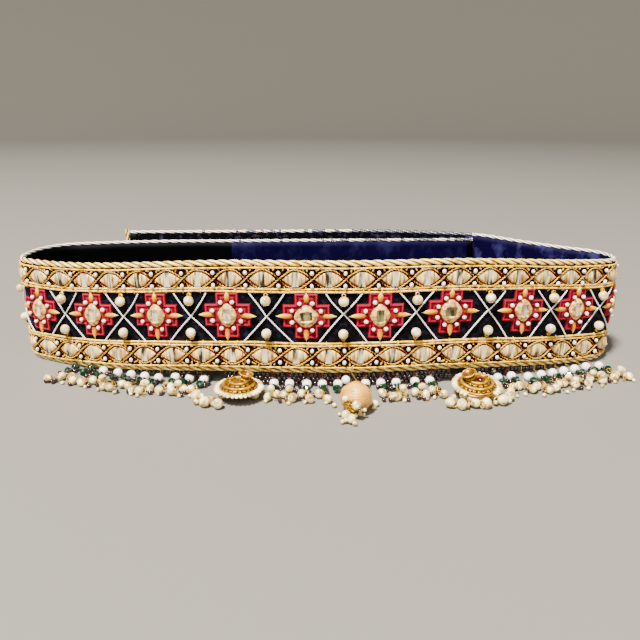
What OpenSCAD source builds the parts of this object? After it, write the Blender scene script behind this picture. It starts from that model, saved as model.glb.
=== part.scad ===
// Embroidered waist belt: a stiffened navy cloth band wound into a loop whose ends overlap at the back.
// It stands on its lower edge, and a fringe of beads along the front lifts the middle of that edge.
// Every piece is placed by three numbers: s, the distance along the belt from the middle of the front
// (right is positive), out, the distance from the middle of the cloth, and z, the height above the edge.

/* [Cloth] */
// Height of the belt with the rope along both edges
belt_h = 60; // [60:1:64]
// Thickness of the stiffened navy cloth
cloth_t = 2; // [1.6:0.1:2.2]
// Thickness of the satin lining
lining_t = 1; // [0.8:0.1:1.2]
// Diameter of the twisted gold rope along the edges
rope_d = 3; // [2.6:0.1:3.2]
// Thickness of each half of the hook-and-loop closure
closure_t = 0.9; // [0.6:0.1:1]

/* [Loop] */
// Radius of the long front curve
front_r = 350; // [340:5:360]
// Radius of the sharp bend at the right end
right_bend_r = 18; // [16:1:20]
// Radius of the bend at the left end
left_bend_r = 16; // [15:1:18]
// Length of the straight inner end at the back
inner_tail = 178; // [160:2:180]
// Length over which the two ends lie on each other
overlap = 216; // [200:2:218]
// How high the fringe lifts the middle of the front edge
front_lift = 8; // [8:0.5:10]
// How high the outer end rides above the inner end
end_rise = 5; // [3:0.5:6]

/* [Embroidery] */
// Distance from one cross to the next
motif_pitch = 38.5; // [37.5:0.25:39]
// Width and height of a cross
cross_size = 24; // [22:0.5:24]
// Width and height of a square centre mirror
mirror_size = 6; // [5:0.5:7]
// Diameter of the pearls between the crosses
field_pearl_d = 5; // [4.6:0.1:5.4]
// Distance from one eye of a border to the next
eye_pitch = 16.2; // [16:0.1:17]
// Height of an eye of a border
eye_h = 8.8; // [8:0.2:9.4]

/* [Fringe] */
// Diameter of the white pearls
white_pearl_d = 4.8; // [4.4:0.1:5]
// Diameter of the green bicone beads
green_bead_d = 3.8; // [3.4:0.1:4.2]
// Diameter of the cream pearls at the ends of the strings
cream_pearl_d = 4.6; // [4:0.1:4.7]
// Diameter of the large pink bead
pink_ball_d = 15.5; // [13:0.5:16]
// Radius of the gold dome of a bell drop
bell_r = 9; // [8.5:0.25:9.5]

/* [Hidden] */
gap = 0.1;
thread_d = 0.6;
knot_d = 0.8;
hole_d = 1;
motif_first = -6;
motif_count = 19;

// The wall: cloth outside, lining inside, rope on the middle line
wall_t = cloth_t + gap + lining_t;
face_out = wall_t / 2;
lining_out = face_out - cloth_t - gap;
wall_low = rope_d + gap;
wall_high = belt_h - rope_d - gap;
layer_pitch = wall_t + 2 * closure_t + 3 * gap;

// The path of the wall, as stretches of [length, turn]: an arc has a turn in degrees, a straight has none
function arc(radius, turn) = [radius * turn * PI / 180, turn];
function straight(length) = [length, 0];
LENGTH = 0;
TURN = 1;

// A place on the path is [x, y, heading]
function move(p, length, turn) =
    turn == 0
    ? [p[0] + length * cos(p[2]), p[1] + length * sin(p[2]), p[2]]
    : let (r = length * 180 / (PI * turn))
      [p[0] + r * (sin(p[2] + turn) - sin(p[2])), p[1] - r * (cos(p[2] + turn) - cos(p[2])), p[2] + turn];
function walk(path, s, i = 0, p = [0, 0, 0]) =
    i == len(path) - 1 || s <= path[i][LENGTH]
    ? move(p, s, path[i][TURN] * s / path[i][LENGTH])
    : walk(path, s - path[i][LENGTH], i + 1, move(p, path[i][LENGTH], path[i][TURN]));
function total(path, i = 0) = i == len(path) ? 0 : path[i][LENGTH] + total(path, i + 1);

// The left half of the loop ends as the inner layer at the back
left_path = [
    arc(front_r, 29),
    arc(left_bend_r, 64),
    straight(7),
    arc(25, 77),
    arc(380, 10),
    straight(inner_tail)];
left_end = total(left_path);
inner_end = walk(left_path, left_end);

// The right half ends as the outer layer, so its straight side is as long as the layers need
right_front = [arc(front_r, 24), arc(right_bend_r, 119)];
right_corner = arc(21, 37);
before_side = walk(right_front, total(right_front));
corner_depth = move([0, 0, before_side[2]], right_corner[LENGTH], right_corner[TURN])[1];
right_side = (inner_end[1] + layer_pitch - before_side[1] - corner_depth) / sin(before_side[2]);
right_turns = concat(right_front, [straight(right_side), right_corner]);
right_back = walk(right_turns, total(right_turns));
outer_tail = right_back[0] + inner_end[0] + overlap;
right_path = concat(right_turns, [straight(outer_tail)]);
right_end = total(right_path);

// Where the outer end covers the inner one, the inner one is bare
cover_s = -(left_end - overlap);

function place(s) =
    s >= 0
    ? walk(right_path, s)
    : let (p = walk(left_path, -s)) [-p[0], p[1], -p[2]];

// The height of the lower edge above the surface
function ease(t) = let (u = max(0, min(1, t))) u * u * (3 - 2 * u);
lift_from = 40;
lift_to = 175;
rise_from = 190;
rise_to = 330;
function base(s) =
    front_lift * (1 - ease((abs(s) - lift_from) / (lift_to - lift_from)))
    + end_rise * ease((s - rise_from) / (rise_to - rise_from));

// The stations at which a wall or rope has a section: on a bend they are so close that the flat piece
// between two of them stays within chord_slack of the curve
chord_slack = 0.05;
flat_step = 24;
function turn_step(stretch) = 2 * acos(1 - chord_slack * PI * stretch[TURN] / (180 * stretch[LENGTH]));
function pieces(stretch) =
    stretch[TURN] == 0 ? ceil(stretch[LENGTH] / flat_step) : ceil(stretch[TURN] / turn_step(stretch));
function stops(path, i = 0, s = 0) =
    i == len(path)
    ? []
    : let (n = pieces(path[i]))
      concat([for (k = [0:n - 1]) s + path[i][LENGTH] * k / n], stops(path, i + 1, s + path[i][LENGTH]));
left_stops = stops(left_path);
right_stops = stops(right_path);
marks = concat([for (i = [len(left_stops) - 1:-1:1]) -left_stops[i]], right_stops);
function stations(s0, s1) = concat([s0], [for (m = marks) if (m > s0 + 1 && m < s1 - 1) m], [s1]);
whole_belt = stations(-left_end, right_end);
covered_belt = stations(cover_s, right_end);

// Where the crosses lie, and how far the ornaments stand out. The belt is sewn by hand: each of the first
// crosses sits beside its regular place by its own amount, and those past the right bend by the last amount.
motif_start = -21;
motif_shift = [3, 3, 3, 2, 1.5, 1, 2, 0, -2.5, -0.5, -5, -10];
motif_z = belt_h / 2 + 1;
function motif_s(i) =
    motif_start + motif_pitch * (motif_first + i - 1) + motif_shift[min(i, len(motif_shift)) - 1];
function crossing_s(i) = (motif_s(i) + motif_s(i + 1)) / 2;
sewn_gap = 0.3;
relief_t = 1;
plate_t = 0.5;
plate_w = 12.6;
mirror_t = 0.7;
relief_out = face_out + sewn_gap + relief_t;
plate_out = relief_out + gap;
pearl_out = face_out + gap + field_pearl_d;

// The middle of the object's box, so that the origin is in the middle of what it stands on
tail_reach = 45;
function outline_x(s, out, ahead = 0) = let (p = place(s)) p[0] + out * sin(p[2]) + ahead * cos(p[2]);
widths = concat(
    [for (s = whole_belt) outline_x(s, relief_out)],
    [for (i = [1:motif_count], side = [-1, 1]) outline_x(motif_s(i), plate_out + plate_t, side * plate_w / 2)],
    [for (i = [1:motif_count - 1]) outline_x(crossing_s(i), pearl_out)]);
x_mid = (min(widths) + max(widths)) / 2;
y_mid = (right_back[1] + pearl_out - tail_reach) / 2;

// A point of the belt from its three numbers
function at(s, out, z) =
    let (p = place(s))
    [p[0] + out * sin(p[2]) - x_mid, p[1] - out * cos(p[2]) - y_mid, z + base(s)];

// A solid through a row of sections with the same number of points
module loft(rings) {
    n = len(rings[0]);
    last = len(rings) - 1;
    polyhedron(
        points = [for (ring = rings) for (p = ring) p],
        faces = concat(
            [[for (i = [n - 1:-1:0]) i]],
            [for (k = [0:last - 1]) for (i = [0:n - 1])
                [k * n + i, k * n + (i + 1) % n, (k + 1) * n + (i + 1) % n, (k + 1) * n + i]],
            [[for (i = [0:n - 1]) last * n + i]]));
}

// A strip of the wall between two distances out and two heights
function strip_ring(s, out0, out1, z0, z1) =
    [at(s, out0, z0), at(s, out1, z0), at(s, out1, z1), at(s, out0, z1)];
module strip(list, out0, out1, z0, z1) {
    loft([for (s = list) strip_ring(s, out0, out1, z0, z1)]);
}

// A raised shape on the cloth, from rows of [distance along the belt, half of its height]
AHEAD = 0;
HALF_H = 1;
module raised(s0, rows, z, thick) {
    low = face_out + sewn_gap;
    loft([for (row = rows)
        strip_ring(s0 + row[AHEAD], low, low + thick, z - row[HALF_H], z + row[HALF_H])]);
}

// A round cord along the belt
cord_sides = 8;
module cord(list, z, d) {
    loft([for (s = list) [for (i = [0:cord_sides - 1])
        let (a = i * 360 / cord_sides) at(s, d / 2 * cos(a), z + d / 2 * sin(a))]]);
}

// Turns what is drawn along z so that it runs from one point towards another
module towards(a, b) {
    v = b - a;
    translate(a) rotate([0, atan2(norm([v[0], v[1]]), v[2]), atan2(v[1], v[0])]) children();
}

// A thread from one point to another
module rod(a, b, d) {
    towards(a, b) cylinder(h = norm(b - a), d = d, $fn = 16);
}

module band() {
    color("#14102e") strip(whole_belt, lining_out + gap, face_out, wall_low, wall_high);
}

module lining() {
    color("#0c0c3e") strip(whole_belt, -face_out, lining_out, wall_low, wall_high);
}

// The closure: hooks on the outside of the inner end, loops on the inside of the outer end
closure_edge = 5;
closure_margin = 4;
module closure_hook() {
    low = face_out + gap;
    color("#1a1430") strip(
        stations(-left_end + closure_margin, -left_end + inner_tail - closure_margin),
        low, low + closure_t, closure_edge, belt_h - closure_edge);
}

module closure_loop() {
    high = -face_out - gap;
    color("#1c1638") strip(
        stations(right_end - outer_tail + closure_margin, right_end - closure_margin),
        high - closure_t, high, closure_edge, wall_high);
}

module top_rope() {
    color("#d8b870") cord(whole_belt, belt_h - rope_d / 2, rope_d);
}

module bottom_rope() {
    color("#d8b870") cord(whole_belt, rope_d / 2, rope_d);
}

// The rope that closes the outer end stands just past the cloth. The inner end is a plain hem.
module end_rope() {
    s = right_end + rope_d / 2 + gap;
    color("#d8b870") rod(at(s, 0, 0), at(s, 0, belt_h), rope_d);
}

// The two borders: a chain of almond eyes with a gold line towards the field
border_z = 9.7;
line_z = 16;
line_w = 1.6;
// columns: share of the way from one crossing to the next, share of the full height
eye_outline = [[0, 0.26], [0.18, 0.8], [0.5, 1], [0.82, 0.8]];
module border(z) {
    first = ceil((cover_s + 1) / eye_pitch);
    last = floor((right_end - 1) / eye_pitch) - 1;
    rows = [for (i = [first:last]) for (row = eye_outline)
        [(i + row[AHEAD]) * eye_pitch, row[HALF_H] * eye_h / 2]];
    close = [(last + 1) * eye_pitch, eye_outline[0][HALF_H] * eye_h / 2];
    color("#e8d0a8") raised(0, concat(rows, [close]), z, relief_t);
}

module upper_border() { border(belt_h - border_z); }

module lower_border() { border(border_z); }

module border_lines() {
    low = face_out + gap;
    color("#c8a050") for (z = [line_z, belt_h - line_z])
        strip(covered_belt, low, low + relief_t, z - line_w / 2, z + line_w / 2);
}

// The crosses: four arms, with the point of a petal past each side arm
arm = cross_size / 4;
petal_tip = cross_size * 0.63;
edge = 0.05;
// columns: distance from the middle, half of the height there
half_cross = [
    [petal_tip, 0.5],
    [cross_size / 2 + edge, 1.5],
    [cross_size / 2, arm],
    [cross_size * 3 / 8, arm],
    [arm + edge, arm],
    [arm, cross_size / 2],
    [arm / 2, cross_size / 2]];
cross_rows = concat(
    [for (row = half_cross) [-row[AHEAD], row[HALF_H]]],
    [[0, cross_size / 2]],
    [for (i = [len(half_cross) - 1:-1:0]) half_cross[i]]);
module cross(i) {
    color("#c00020") raised(motif_s(i), cross_rows, motif_z, relief_t);
}

// A centre mirror: a square of mirror glass on a pointed plate of gold tissue
plate_corner = 3;
module centre_mirror(i) {
    s = motif_s(i);
    r = plate_w / 2;
    color("#e8e0d0")
        translate(at(s, plate_out, motif_z))
            rotate([90, 0, place(s)[2]]) {
                linear_extrude(plate_t)
                    polygon([
                        [r, 0], [plate_corner, r], [-plate_corner, r],
                        [-r, 0], [-plate_corner, -r], [plate_corner, -r]]);
                linear_extrude(plate_t + mirror_t) square(mirror_size, center = true);
            }
}

// Two pearls lie between each pair of crosses, above and below the middle
field_pearl_z = 8.5;
module field_pearls() {
    color("#fff4e6") for (i = [1:motif_count - 1], side = [-1, 1])
        translate(at(crossing_s(i), face_out + gap + field_pearl_d / 2, motif_z + side * field_pearl_z))
            sphere(d = field_pearl_d, $fn = 32);
}

// The fringe: each string drops from the lower rope to the surface and lies on it, pointing away from
// the belt. It comes from under the rope where the edge is high, and from its front where it is low.
strings = [
    -147, -138, -130, -121, -113, -105, -97, -89, -81, -73, -36, -28, -19, -11, -3,
    11, 19, 27, 37, 45, 81, 89, 97, 105, 112, 119, 126, 134, 141];
string_z = white_pearl_d / 2;
bell_s = [-51, 62];
bell_out = [15, 20];
bell_rim_z = [5, 6.1];
bell_lean = [0, 8];
ball_s = 3.5;
ball_out = 29;

function is_high(s) = base(s) > white_pearl_d + 2 * gap;
function elbow_out(s) = is_high(s) ? -1.2 : 2;
function splay(s) = 3 * sin(s * 47);
pearl_ahead = white_pearl_d / 2 + 0.45;
// At the sides the strings lie further out, the last one on the right most of all
function slack(s) = s > 140 ? 4 : (s > 70 || s < -140) ? 1.5 : 0;
function pearl_step(s) = pearl_ahead + slack(s);
bead_step = 6;
// Beside the pink bead the strings end with their green beads
function is_short(s) = abs(s - ball_s) < 12;
function cream_count(s) = is_short(s) ? 0 : 2;
function string_length(s) = pearl_step(s) + bead_step * (1 + cream_count(s)) + cream_pearl_d / 2 + 0.4;

// A point of a string, at a distance from its elbow
function on_string(s, ahead) =
    let (p = at(s, elbow_out(s), 0), a = place(s)[2] + splay(s))
    [p[0] + ahead * sin(a), p[1] - ahead * cos(a), string_z];

module bead_at(s, ahead) {
    translate(on_string(s, ahead)) rotate([90, 0, place(s)[2] + splay(s)]) children();
}

module round_bead(d) {
    difference() {
        sphere(d = d, $fn = 32);
        cylinder(h = d + 2, d = hole_d, center = true, $fn = 16);
    }
}

module bicone_bead(d) {
    h = d * 0.9;
    waist = d * 0.3;
    rotate_extrude($fn = 24)
        polygon([[hole_d / 2, -h / 2], [waist, -h / 2], [d / 2, 0], [waist, h / 2], [hole_d / 2, h / 2]]);
}

// A rope's underside is met from below, its front from ahead
function string_top(s) =
    let (reach = min(abs(elbow_out(s)), rope_d / 2))
    is_high(s) ? rope_d / 2 - sqrt(pow(rope_d / 2 + gap + thread_d / 2, 2) - reach * reach) : 1;

module string_thread(s) {
    top = at(s, elbow_out(s), string_top(s));
    elbow = on_string(s, 0);
    rod(top, elbow, thread_d);
    translate(elbow) sphere(d = knot_d, $fn = 16);
    rod(elbow, on_string(s, string_length(s)), thread_d);
}

// The pink bead rests on the surface. Its bore slants from the upper right at the back, where its thread
// comes from the rope, to the lower left in front, where a short tail of beads leaves it.
ball_middle = [at(ball_s, ball_out, 0)[0], at(ball_s, ball_out, 0)[1], pink_ball_d / 2];
bore_way = [-0.3, -0.8, -0.52];
bore_end = bore_way / norm(bore_way) * (pink_ball_d / 2 + 0.4);
ball_back = ball_middle - bore_end;
ball_front = ball_middle + bore_end;
tail_d = [4.2, 3.1, 1.8];
tail_count = len(tail_d);
tail_gap = 0.2;
tail_end = [ball_middle[0] - 4, -tail_reach - y_mid + thread_d / 2, tail_d[tail_count - 1] / 2 + 3 * gap];
function tail_at(k) = k == 0 ? tail_d[0] / 2 + 0.4 : tail_at(k - 1) + (tail_d[k - 1] + tail_d[k]) / 2 + tail_gap;

// Where the thread of a drop leaves the front of the lower rope
function on_rope(s) = at(s, 2, 1);

module fringe_threads() {
    color("#f0e0c0") {
        for (s = strings) string_thread(s);
        rod(on_rope(ball_s), ball_back, thread_d);
        rod(ball_back, ball_front, thread_d);
        for (p = [ball_back, ball_front]) translate(p) sphere(d = knot_d, $fn = 16);
        rod(ball_front, tail_end, thread_d);
        for (i = [0, 1]) rod(on_rope(bell_s[i]), bell_eye(i), thread_d);
    }
}

module white_pearls() {
    color("#ffffff") for (s = strings) bead_at(s, pearl_step(s)) round_bead(white_pearl_d);
}

module green_beads() {
    color("#0a4020") for (s = strings) bead_at(s, pearl_step(s) + bead_step) bicone_bead(green_bead_d);
}

module cream_pearls() {
    color("#f0dcb8") for (s = strings) if (!is_short(s)) for (k = [2, 3])
        bead_at(s, pearl_step(s) + bead_step * k) round_bead(cream_pearl_d);
}

// A bell drop: a shallow gold dome, open below, with a ring of pearls sewn round its rim, and on its top
// a small cup that has tipped over to one side
bell_wall = 0.9;
bell_h = 4.2;
ring_d = 2.6;
cup_h = 4.4;
cup_foot_r = 1.8;
cup_top_r = 3.6;
cup_wall = 0.9;
cup_aside = [3, -3];
cup_tip = [12, -24];
cup_foot_z = 3.5;
function bell_rim(i) =
    let (p = at(bell_s[i], bell_out[i], 0)) [p[0], p[1], bell_rim_z[i]];
function leaning(p, a) = [p[0], p[1] * cos(a) - p[2] * sin(a), p[1] * sin(a) + p[2] * cos(a)];
// The thread ends behind the cup, at half of its height
function bell_eye(i) =
    let (up = cup_h / 2, back = (cup_foot_r + cup_top_r) / 2 + thread_d / 2 + 2 * gap)
    bell_rim(i) + leaning(
        [cup_aside[i] + up * sin(cup_tip[i]), back, cup_foot_z + up * cos(cup_tip[i])], bell_lean[i]);
dome_outside = [for (a = [0:15:90]) [bell_r * cos(a), bell_h * sin(a)]];
dome_inside = [for (a = [90:-15:0]) [(bell_r - bell_wall) * cos(a), (bell_h - bell_wall) * sin(a)]];
ring_r = bell_r + ring_d / 2 + 0.6;
module cup() {
    difference() {
        cylinder(h = cup_h, r1 = cup_foot_r, r2 = cup_top_r, $fn = 32);
        translate([0, 0, cup_wall])
            cylinder(h = cup_h, r1 = cup_foot_r - cup_wall / 2, r2 = cup_top_r, $fn = 32);
    }
}
module bell(i) {
    color("#e0a020") translate(bell_rim(i)) rotate([bell_lean[i], 0, 0]) {
        rotate_extrude($fn = 48)
            polygon(concat(
                [[ring_r, 0], [ring_r, 0.6], [bell_r, 0.6]],
                [for (k = [1:len(dome_outside) - 1]) dome_outside[k]],
                dome_inside));
        rotate_extrude($fn = 48) translate([ring_r, 0.3]) circle(d = ring_d, $fn = 24);
        translate([cup_aside[i], 0, cup_foot_z]) rotate([0, cup_tip[i], 0]) cup();
    }
}

// Pearls hang close under each rim, and the bells rest on them. The front of the left one is bare.
bell_pearl_r = bell_r - 0.8;
bell_pearl_turns = [[-15, 35, 90, 145, 195], [30, 90, 150, 210, 270, 330]];
module bell_pearls() {
    below = 2 * gap + cream_pearl_d / 2;
    color("#fff4e6") for (i = [0, 1], a = bell_pearl_turns[i])
        translate(bell_rim(i)) rotate([bell_lean[i], 0, 0])
            translate([bell_pearl_r * cos(a), bell_pearl_r * sin(a), -below])
                sphere(d = cream_pearl_d, $fn = 32);
}

module pink_ball() {
    color("#ecc098") towards(ball_middle, ball_front) round_bead(pink_ball_d);
}

module ball_tail() {
    color("#f0d090") for (k = [0:tail_count - 1])
        towards(ball_front, tail_end) translate([0, 0, tail_at(k)]) round_bead(tail_d[k]);
}

band();
lining();
closure_hook();
closure_loop();
top_rope();
bottom_rope();
end_rope();
border_lines();
upper_border();
lower_border();
field_pearls();
fringe_threads();
white_pearls();
green_beads();
cream_pearls();
bell(0);  // bell_left
bell(1);  // bell_right
bell_pearls();
pink_ball();
ball_tail();
for (i = [1:motif_count]) cross(i);
for (i = [1:motif_count]) centre_mirror(i);
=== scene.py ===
import math

import bmesh
import bpy
import numpy as np
from mathutils import Matrix, Vector


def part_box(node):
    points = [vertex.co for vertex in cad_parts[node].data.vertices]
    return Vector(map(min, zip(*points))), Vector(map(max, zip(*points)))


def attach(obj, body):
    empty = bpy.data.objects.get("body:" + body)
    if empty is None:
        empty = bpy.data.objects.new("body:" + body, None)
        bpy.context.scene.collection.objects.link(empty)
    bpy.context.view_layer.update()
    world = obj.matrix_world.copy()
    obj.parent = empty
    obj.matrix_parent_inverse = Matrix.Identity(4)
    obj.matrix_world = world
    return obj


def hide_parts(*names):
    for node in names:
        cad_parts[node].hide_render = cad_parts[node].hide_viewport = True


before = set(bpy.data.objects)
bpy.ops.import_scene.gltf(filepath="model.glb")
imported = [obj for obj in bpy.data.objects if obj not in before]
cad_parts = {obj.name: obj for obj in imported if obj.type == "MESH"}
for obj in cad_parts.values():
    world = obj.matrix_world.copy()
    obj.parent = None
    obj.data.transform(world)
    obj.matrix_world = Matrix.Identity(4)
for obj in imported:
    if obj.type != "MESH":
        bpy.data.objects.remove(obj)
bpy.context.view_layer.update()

# THE STIFFENED BAND
# One long strip of navy cloth over a stiff core, wound into a loop whose ends lie on each other at the back.
# The field between the borders is bare navy cloth; the two borders lie on a brown-red ground sewn with gold.
MM = 0.001
BELT_HIGH = 60.0
BELT_MIDDLE = BELT_HIGH / 2
WALL_LOW, WALL_HIGH = 3.1, 56.9
FACE_OUT = 1.55
CLOTH_BACK = -0.45
LINE_LOW, LINE_HIGH = 16.0, 44.0
OVERLAP = 216.0
LAYER_PITCH = 5.2
# the fringe lifts the front edge this much; it stays level up to here on both sides of the middle, and comes
# down over this length
FRONT_LIFT, FRONT_LEVEL, FRONT_FALL = 8.0, 40.0, 135.0
# the outer end rides up this much at the back, from here on, over this length
END_LIFT, END_FROM, END_RISE = 5.0, 190.0, 140.0


def arc(radius, degrees):
    """A bend of a course: its length, and its turn in radians."""
    return radius * math.radians(degrees), math.radians(degrees)


def walk(stretches, s):
    """Where a course of [length, turn] is after s millimetres: x, y and heading."""
    x, y, h = np.zeros_like(s), np.zeros_like(s), np.zeros_like(s)
    x0 = y0 = h0 = done = 0.0
    for length, turn in stretches:
        here = s >= done
        run = np.append(s[here] - done, length)
        if turn:
            r = length / turn
            a = h0 + run / r
            px, py = x0 + r * (np.sin(a) - math.sin(h0)), y0 - r * (np.cos(a) - math.cos(h0))
        else:
            a = np.full_like(run, h0)
            px, py = x0 + run * math.cos(h0), y0 + run * math.sin(h0)
        x[here], y[here], h[here] = px[:-1], py[:-1], a[:-1]
        x0, y0, h0, done = px[-1], py[-1], a[-1], done + length
    return x, y, h


def length_of(stretches):
    return sum(length for length, turn in stretches)


def end_of(stretches):
    x, y, h = walk(stretches, np.array([length_of(stretches)]))
    return x[0], y[0], h[0]


# The inner end leaves the left side and the outer end the right side, as the frame's source has them
LEFT = [arc(350, 29), arc(16, 64), (7, 0), arc(25, 77), arc(380, 10), (178, 0)]
LEFT_END = length_of(LEFT)
inner_x, inner_y, _ = end_of(LEFT)
front_turns = [arc(350, 24), arc(18, 119)]
BACK_R = 21
BACK_CORNER = arc(BACK_R, 37)
_, side_y, side_h = end_of(front_turns)
corner_deep = BACK_R * (math.cos(side_h) - math.cos(side_h + BACK_CORNER[1]))
right_side = (inner_y + LAYER_PITCH - side_y - corner_deep) / math.sin(side_h)
turns = front_turns + [(right_side, 0), BACK_CORNER]
RIGHT = turns + [(end_of(turns)[0] + inner_x + OVERLAP, 0)]
RIGHT_END = length_of(RIGHT)
# where the outer end covers the inner one, the inner one is bare
COVER = OVERLAP - LEFT_END


def place(s):
    """Where the belt is at a distance from the middle of its front: x, y and heading."""
    s = np.asarray(s, float)
    rx, ry, rh = walk(RIGHT, np.abs(s))
    lx, ly, lh = walk(LEFT, np.abs(s))
    right = s >= 0
    return np.where(right, rx, -lx), np.where(right, ry, ly), np.where(right, rh, -lh)


def ease(share):
    share = np.clip(share, 0, 1)
    return share * share * (3 - 2 * share)


def lift(s):
    """The height of the lower edge above the surface."""
    front = FRONT_LIFT * (1 - ease((np.abs(s) - FRONT_LEVEL) / FRONT_FALL))
    return front + END_LIFT * ease((s - END_FROM) / END_RISE)


course_x, course_y, course_h = place(np.linspace(-LEFT_END, RIGHT_END, 2000))
edge_x, edge_y = course_x + FACE_OUT * np.sin(course_h), course_y - FACE_OUT * np.cos(course_h)
band_low, band_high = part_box("band")
MID_X = (edge_x.min() + edge_x.max()) / 2 - (band_low.x + band_high.x) / 2 / MM
MID_Y = (edge_y.min() + edge_y.max()) / 2 - (band_low.y + band_high.y) / 2 / MM


def lay(points):
    """Points (distance along the belt, distance out, height) in millimetres, as places in metres."""
    points = np.asarray(points, float)
    s, out, z = points[..., 0], points[..., 1], points[..., 2]
    x, y, h = place(s)
    return np.stack([x + out * np.sin(h) - MID_X, y - out * np.cos(h) - MID_Y, z + lift(s)], -1) * MM


def along(course, out, z):
    """A line laid on the belt; its distance out and its height are one number or one for each place."""
    return lay(np.stack([course, np.full_like(course, out), np.full_like(course, z)], -1))


def laid(mesh):
    """Bends a flat mesh round the belt, and keeps where it lay flat as its UV map, in millimetres."""
    co = np.zeros(len(mesh.vertices) * 3)
    mesh.vertices.foreach_get("co", co)
    flat = co.reshape(-1, 3) / MM
    corner = np.zeros(len(mesh.loops), np.int32)
    mesh.loops.foreach_get("vertex_index", corner)
    uv = mesh.uv_layers.get("laid") or mesh.uv_layers.new(name="laid")
    uv.data.foreach_set("uv", flat[corner][:, [0, 2]].ravel())
    mesh.vertices.foreach_set("co", lay(flat).ravel())
    mesh.update()
    return mesh


def mesh_of(name, points, faces, smooth=True):
    """A mesh from points in millimetres."""
    mesh = bpy.data.meshes.new(name)
    corners = [tuple(int(i) for i in face) for face in faces]
    mesh.from_pydata((np.asarray(points, float) * MM).tolist(), [], corners)
    mesh.validate()
    if smooth:
        mesh.shade_smooth()
    return mesh


def side_faces(rows, ring):
    """The faces between rows of rings of points."""
    k, i = np.meshgrid(np.arange(rows - 1), np.arange(ring), indexing="ij")
    a, b = k * ring + i, k * ring + (i + 1) % ring
    return np.stack([a, b, b + ring, a + ring], -1).reshape(-1, 4).tolist()


def ring_faces(rows, ring):
    """The faces of a closed strip: its sides, with a cap at each end."""
    return [tuple(range(ring))[::-1], *side_faces(rows, ring), tuple(range((rows - 1) * ring, rows * ring))]


def srgb(code):
    """The linear colour of a hex code."""
    channels = [int(code[i:i + 2], 16) / 255 for i in (1, 3, 5)]
    return (*[c / 12.92 if c <= 0.04045 else ((c + 0.055) / 1.055) ** 2.4 for c in channels], 1.0)


def add(tree, kind, inputs=(), **settings):
    """A node with its settings, its inputs' values and its links."""
    made = tree.nodes.new(kind)
    for key, value in settings.items():
        setattr(made, key, value)
    for key, value in dict(inputs).items():
        if isinstance(value, bpy.types.NodeSocket):
            tree.links.new(value, made.inputs[key])
        else:
            made.inputs[key].default_value = value
    return made


def material(name):
    made = bpy.data.materials.new(name)
    made.use_nodes = True
    made.node_tree.nodes.clear()
    return made, made.node_tree


def painted(tree, finish):
    """Ends a material's tree with a surface of these inputs."""
    shader = add(tree, "ShaderNodeBsdfPrincipled", finish)
    add(tree, "ShaderNodeOutputMaterial", {"Surface": shader.outputs[0]})


def blend(tree, share, low, high):
    """A colour between two, by a share; a colour is a hex code or an output."""
    mix = add(tree, "ShaderNodeMix", data_type="RGBA")
    for socket, value in ((mix.inputs[0], share), (mix.inputs[6], low), (mix.inputs[7], high)):
        if isinstance(value, bpy.types.NodeSocket):
            tree.links.new(value, socket)
        else:
            socket.default_value = srgb(value)
    return mix.outputs[2]


def piece(name, mesh, finish, stands_for=()):
    """A finished piece that rides on the belt."""
    mesh.name = name
    if finish:
        mesh.materials.clear()
        mesh.materials.append(finish)
    made = bpy.data.objects.new(name, mesh)
    bpy.context.scene.collection.objects.link(made)
    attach(made, "root")
    if stands_for:
        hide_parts(*stands_for)
    return made


# Plain-woven silk and cotton, almost black: it swallows light, and shows navy only as a soft sheen at a
# slant; paler navy-grey clouds at random are painted sheen. The threads are drawn 0.6 mm apart to show.
navy_cloth, tree = material("navy plain weave")
where = add(tree, "ShaderNodeUVMap", uv_map="laid").outputs[0]
weave = {"Vector": where, "Scale": 0.55, "Distortion": 0.6}
warp = add(tree, "ShaderNodeTexWave", weave, bands_direction="X")
weft = add(tree, "ShaderNodeTexWave", weave, bands_direction="Y")
threads = add(tree, "ShaderNodeMath", {0: warp.outputs[1], 1: weft.outputs[1]}, operation="MULTIPLY")
# paler navy-grey clouds on the field: painted sheen
sheen_mottle = add(tree, "ShaderNodeTexNoise", {"Vector": where, "Scale": 0.35, "Detail": 4.0})
cloud = add(tree, "ShaderNodeMapRange", {0: sheen_mottle.outputs[0], 1: 0.5, 2: 0.72})
field = blend(tree, cloud.outputs[0], "#010103", "#1a1626")
spun = add(tree, "ShaderNodeTexNoise", {"Vector": where, "Scale": 1.3, "Detail": 3.0})
glint = add(tree, "ShaderNodeMapRange", {0: spun.outputs[0], 1: 0.56, 2: 0.66})
ground = blend(tree, glint.outputs[0], "#120202", "#5a2c08")
axes = add(tree, "ShaderNodeSeparateXYZ", {0: where})
from_middle = add(tree, "ShaderNodeMath", {0: axes.outputs[1], 1: BELT_MIDDLE}, operation="SUBTRACT")
off = add(tree, "ShaderNodeMath", {0: from_middle.outputs[0]}, operation="ABSOLUTE")
border_from = LINE_HIGH - BELT_MIDDLE
in_border = add(tree, "ShaderNodeMath", {0: off.outputs[0], 1: border_from}, operation="GREATER_THAN")
weave_bump = add(tree, "ShaderNodeBump", {"Height": threads.outputs[0], "Strength": 0.35, "Distance": 0.0004})
painted(tree, {
    "Base Color": blend(tree, in_border.outputs[0], field, ground), "Roughness": 0.7,
    "Normal": weave_bump.outputs[0], "Specular IOR Level": 0.06, "Sheen Weight": 0.01, "Sheen Roughness": 0.4,
    "Sheen Tint": srgb("#6a68a8")})

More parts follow.
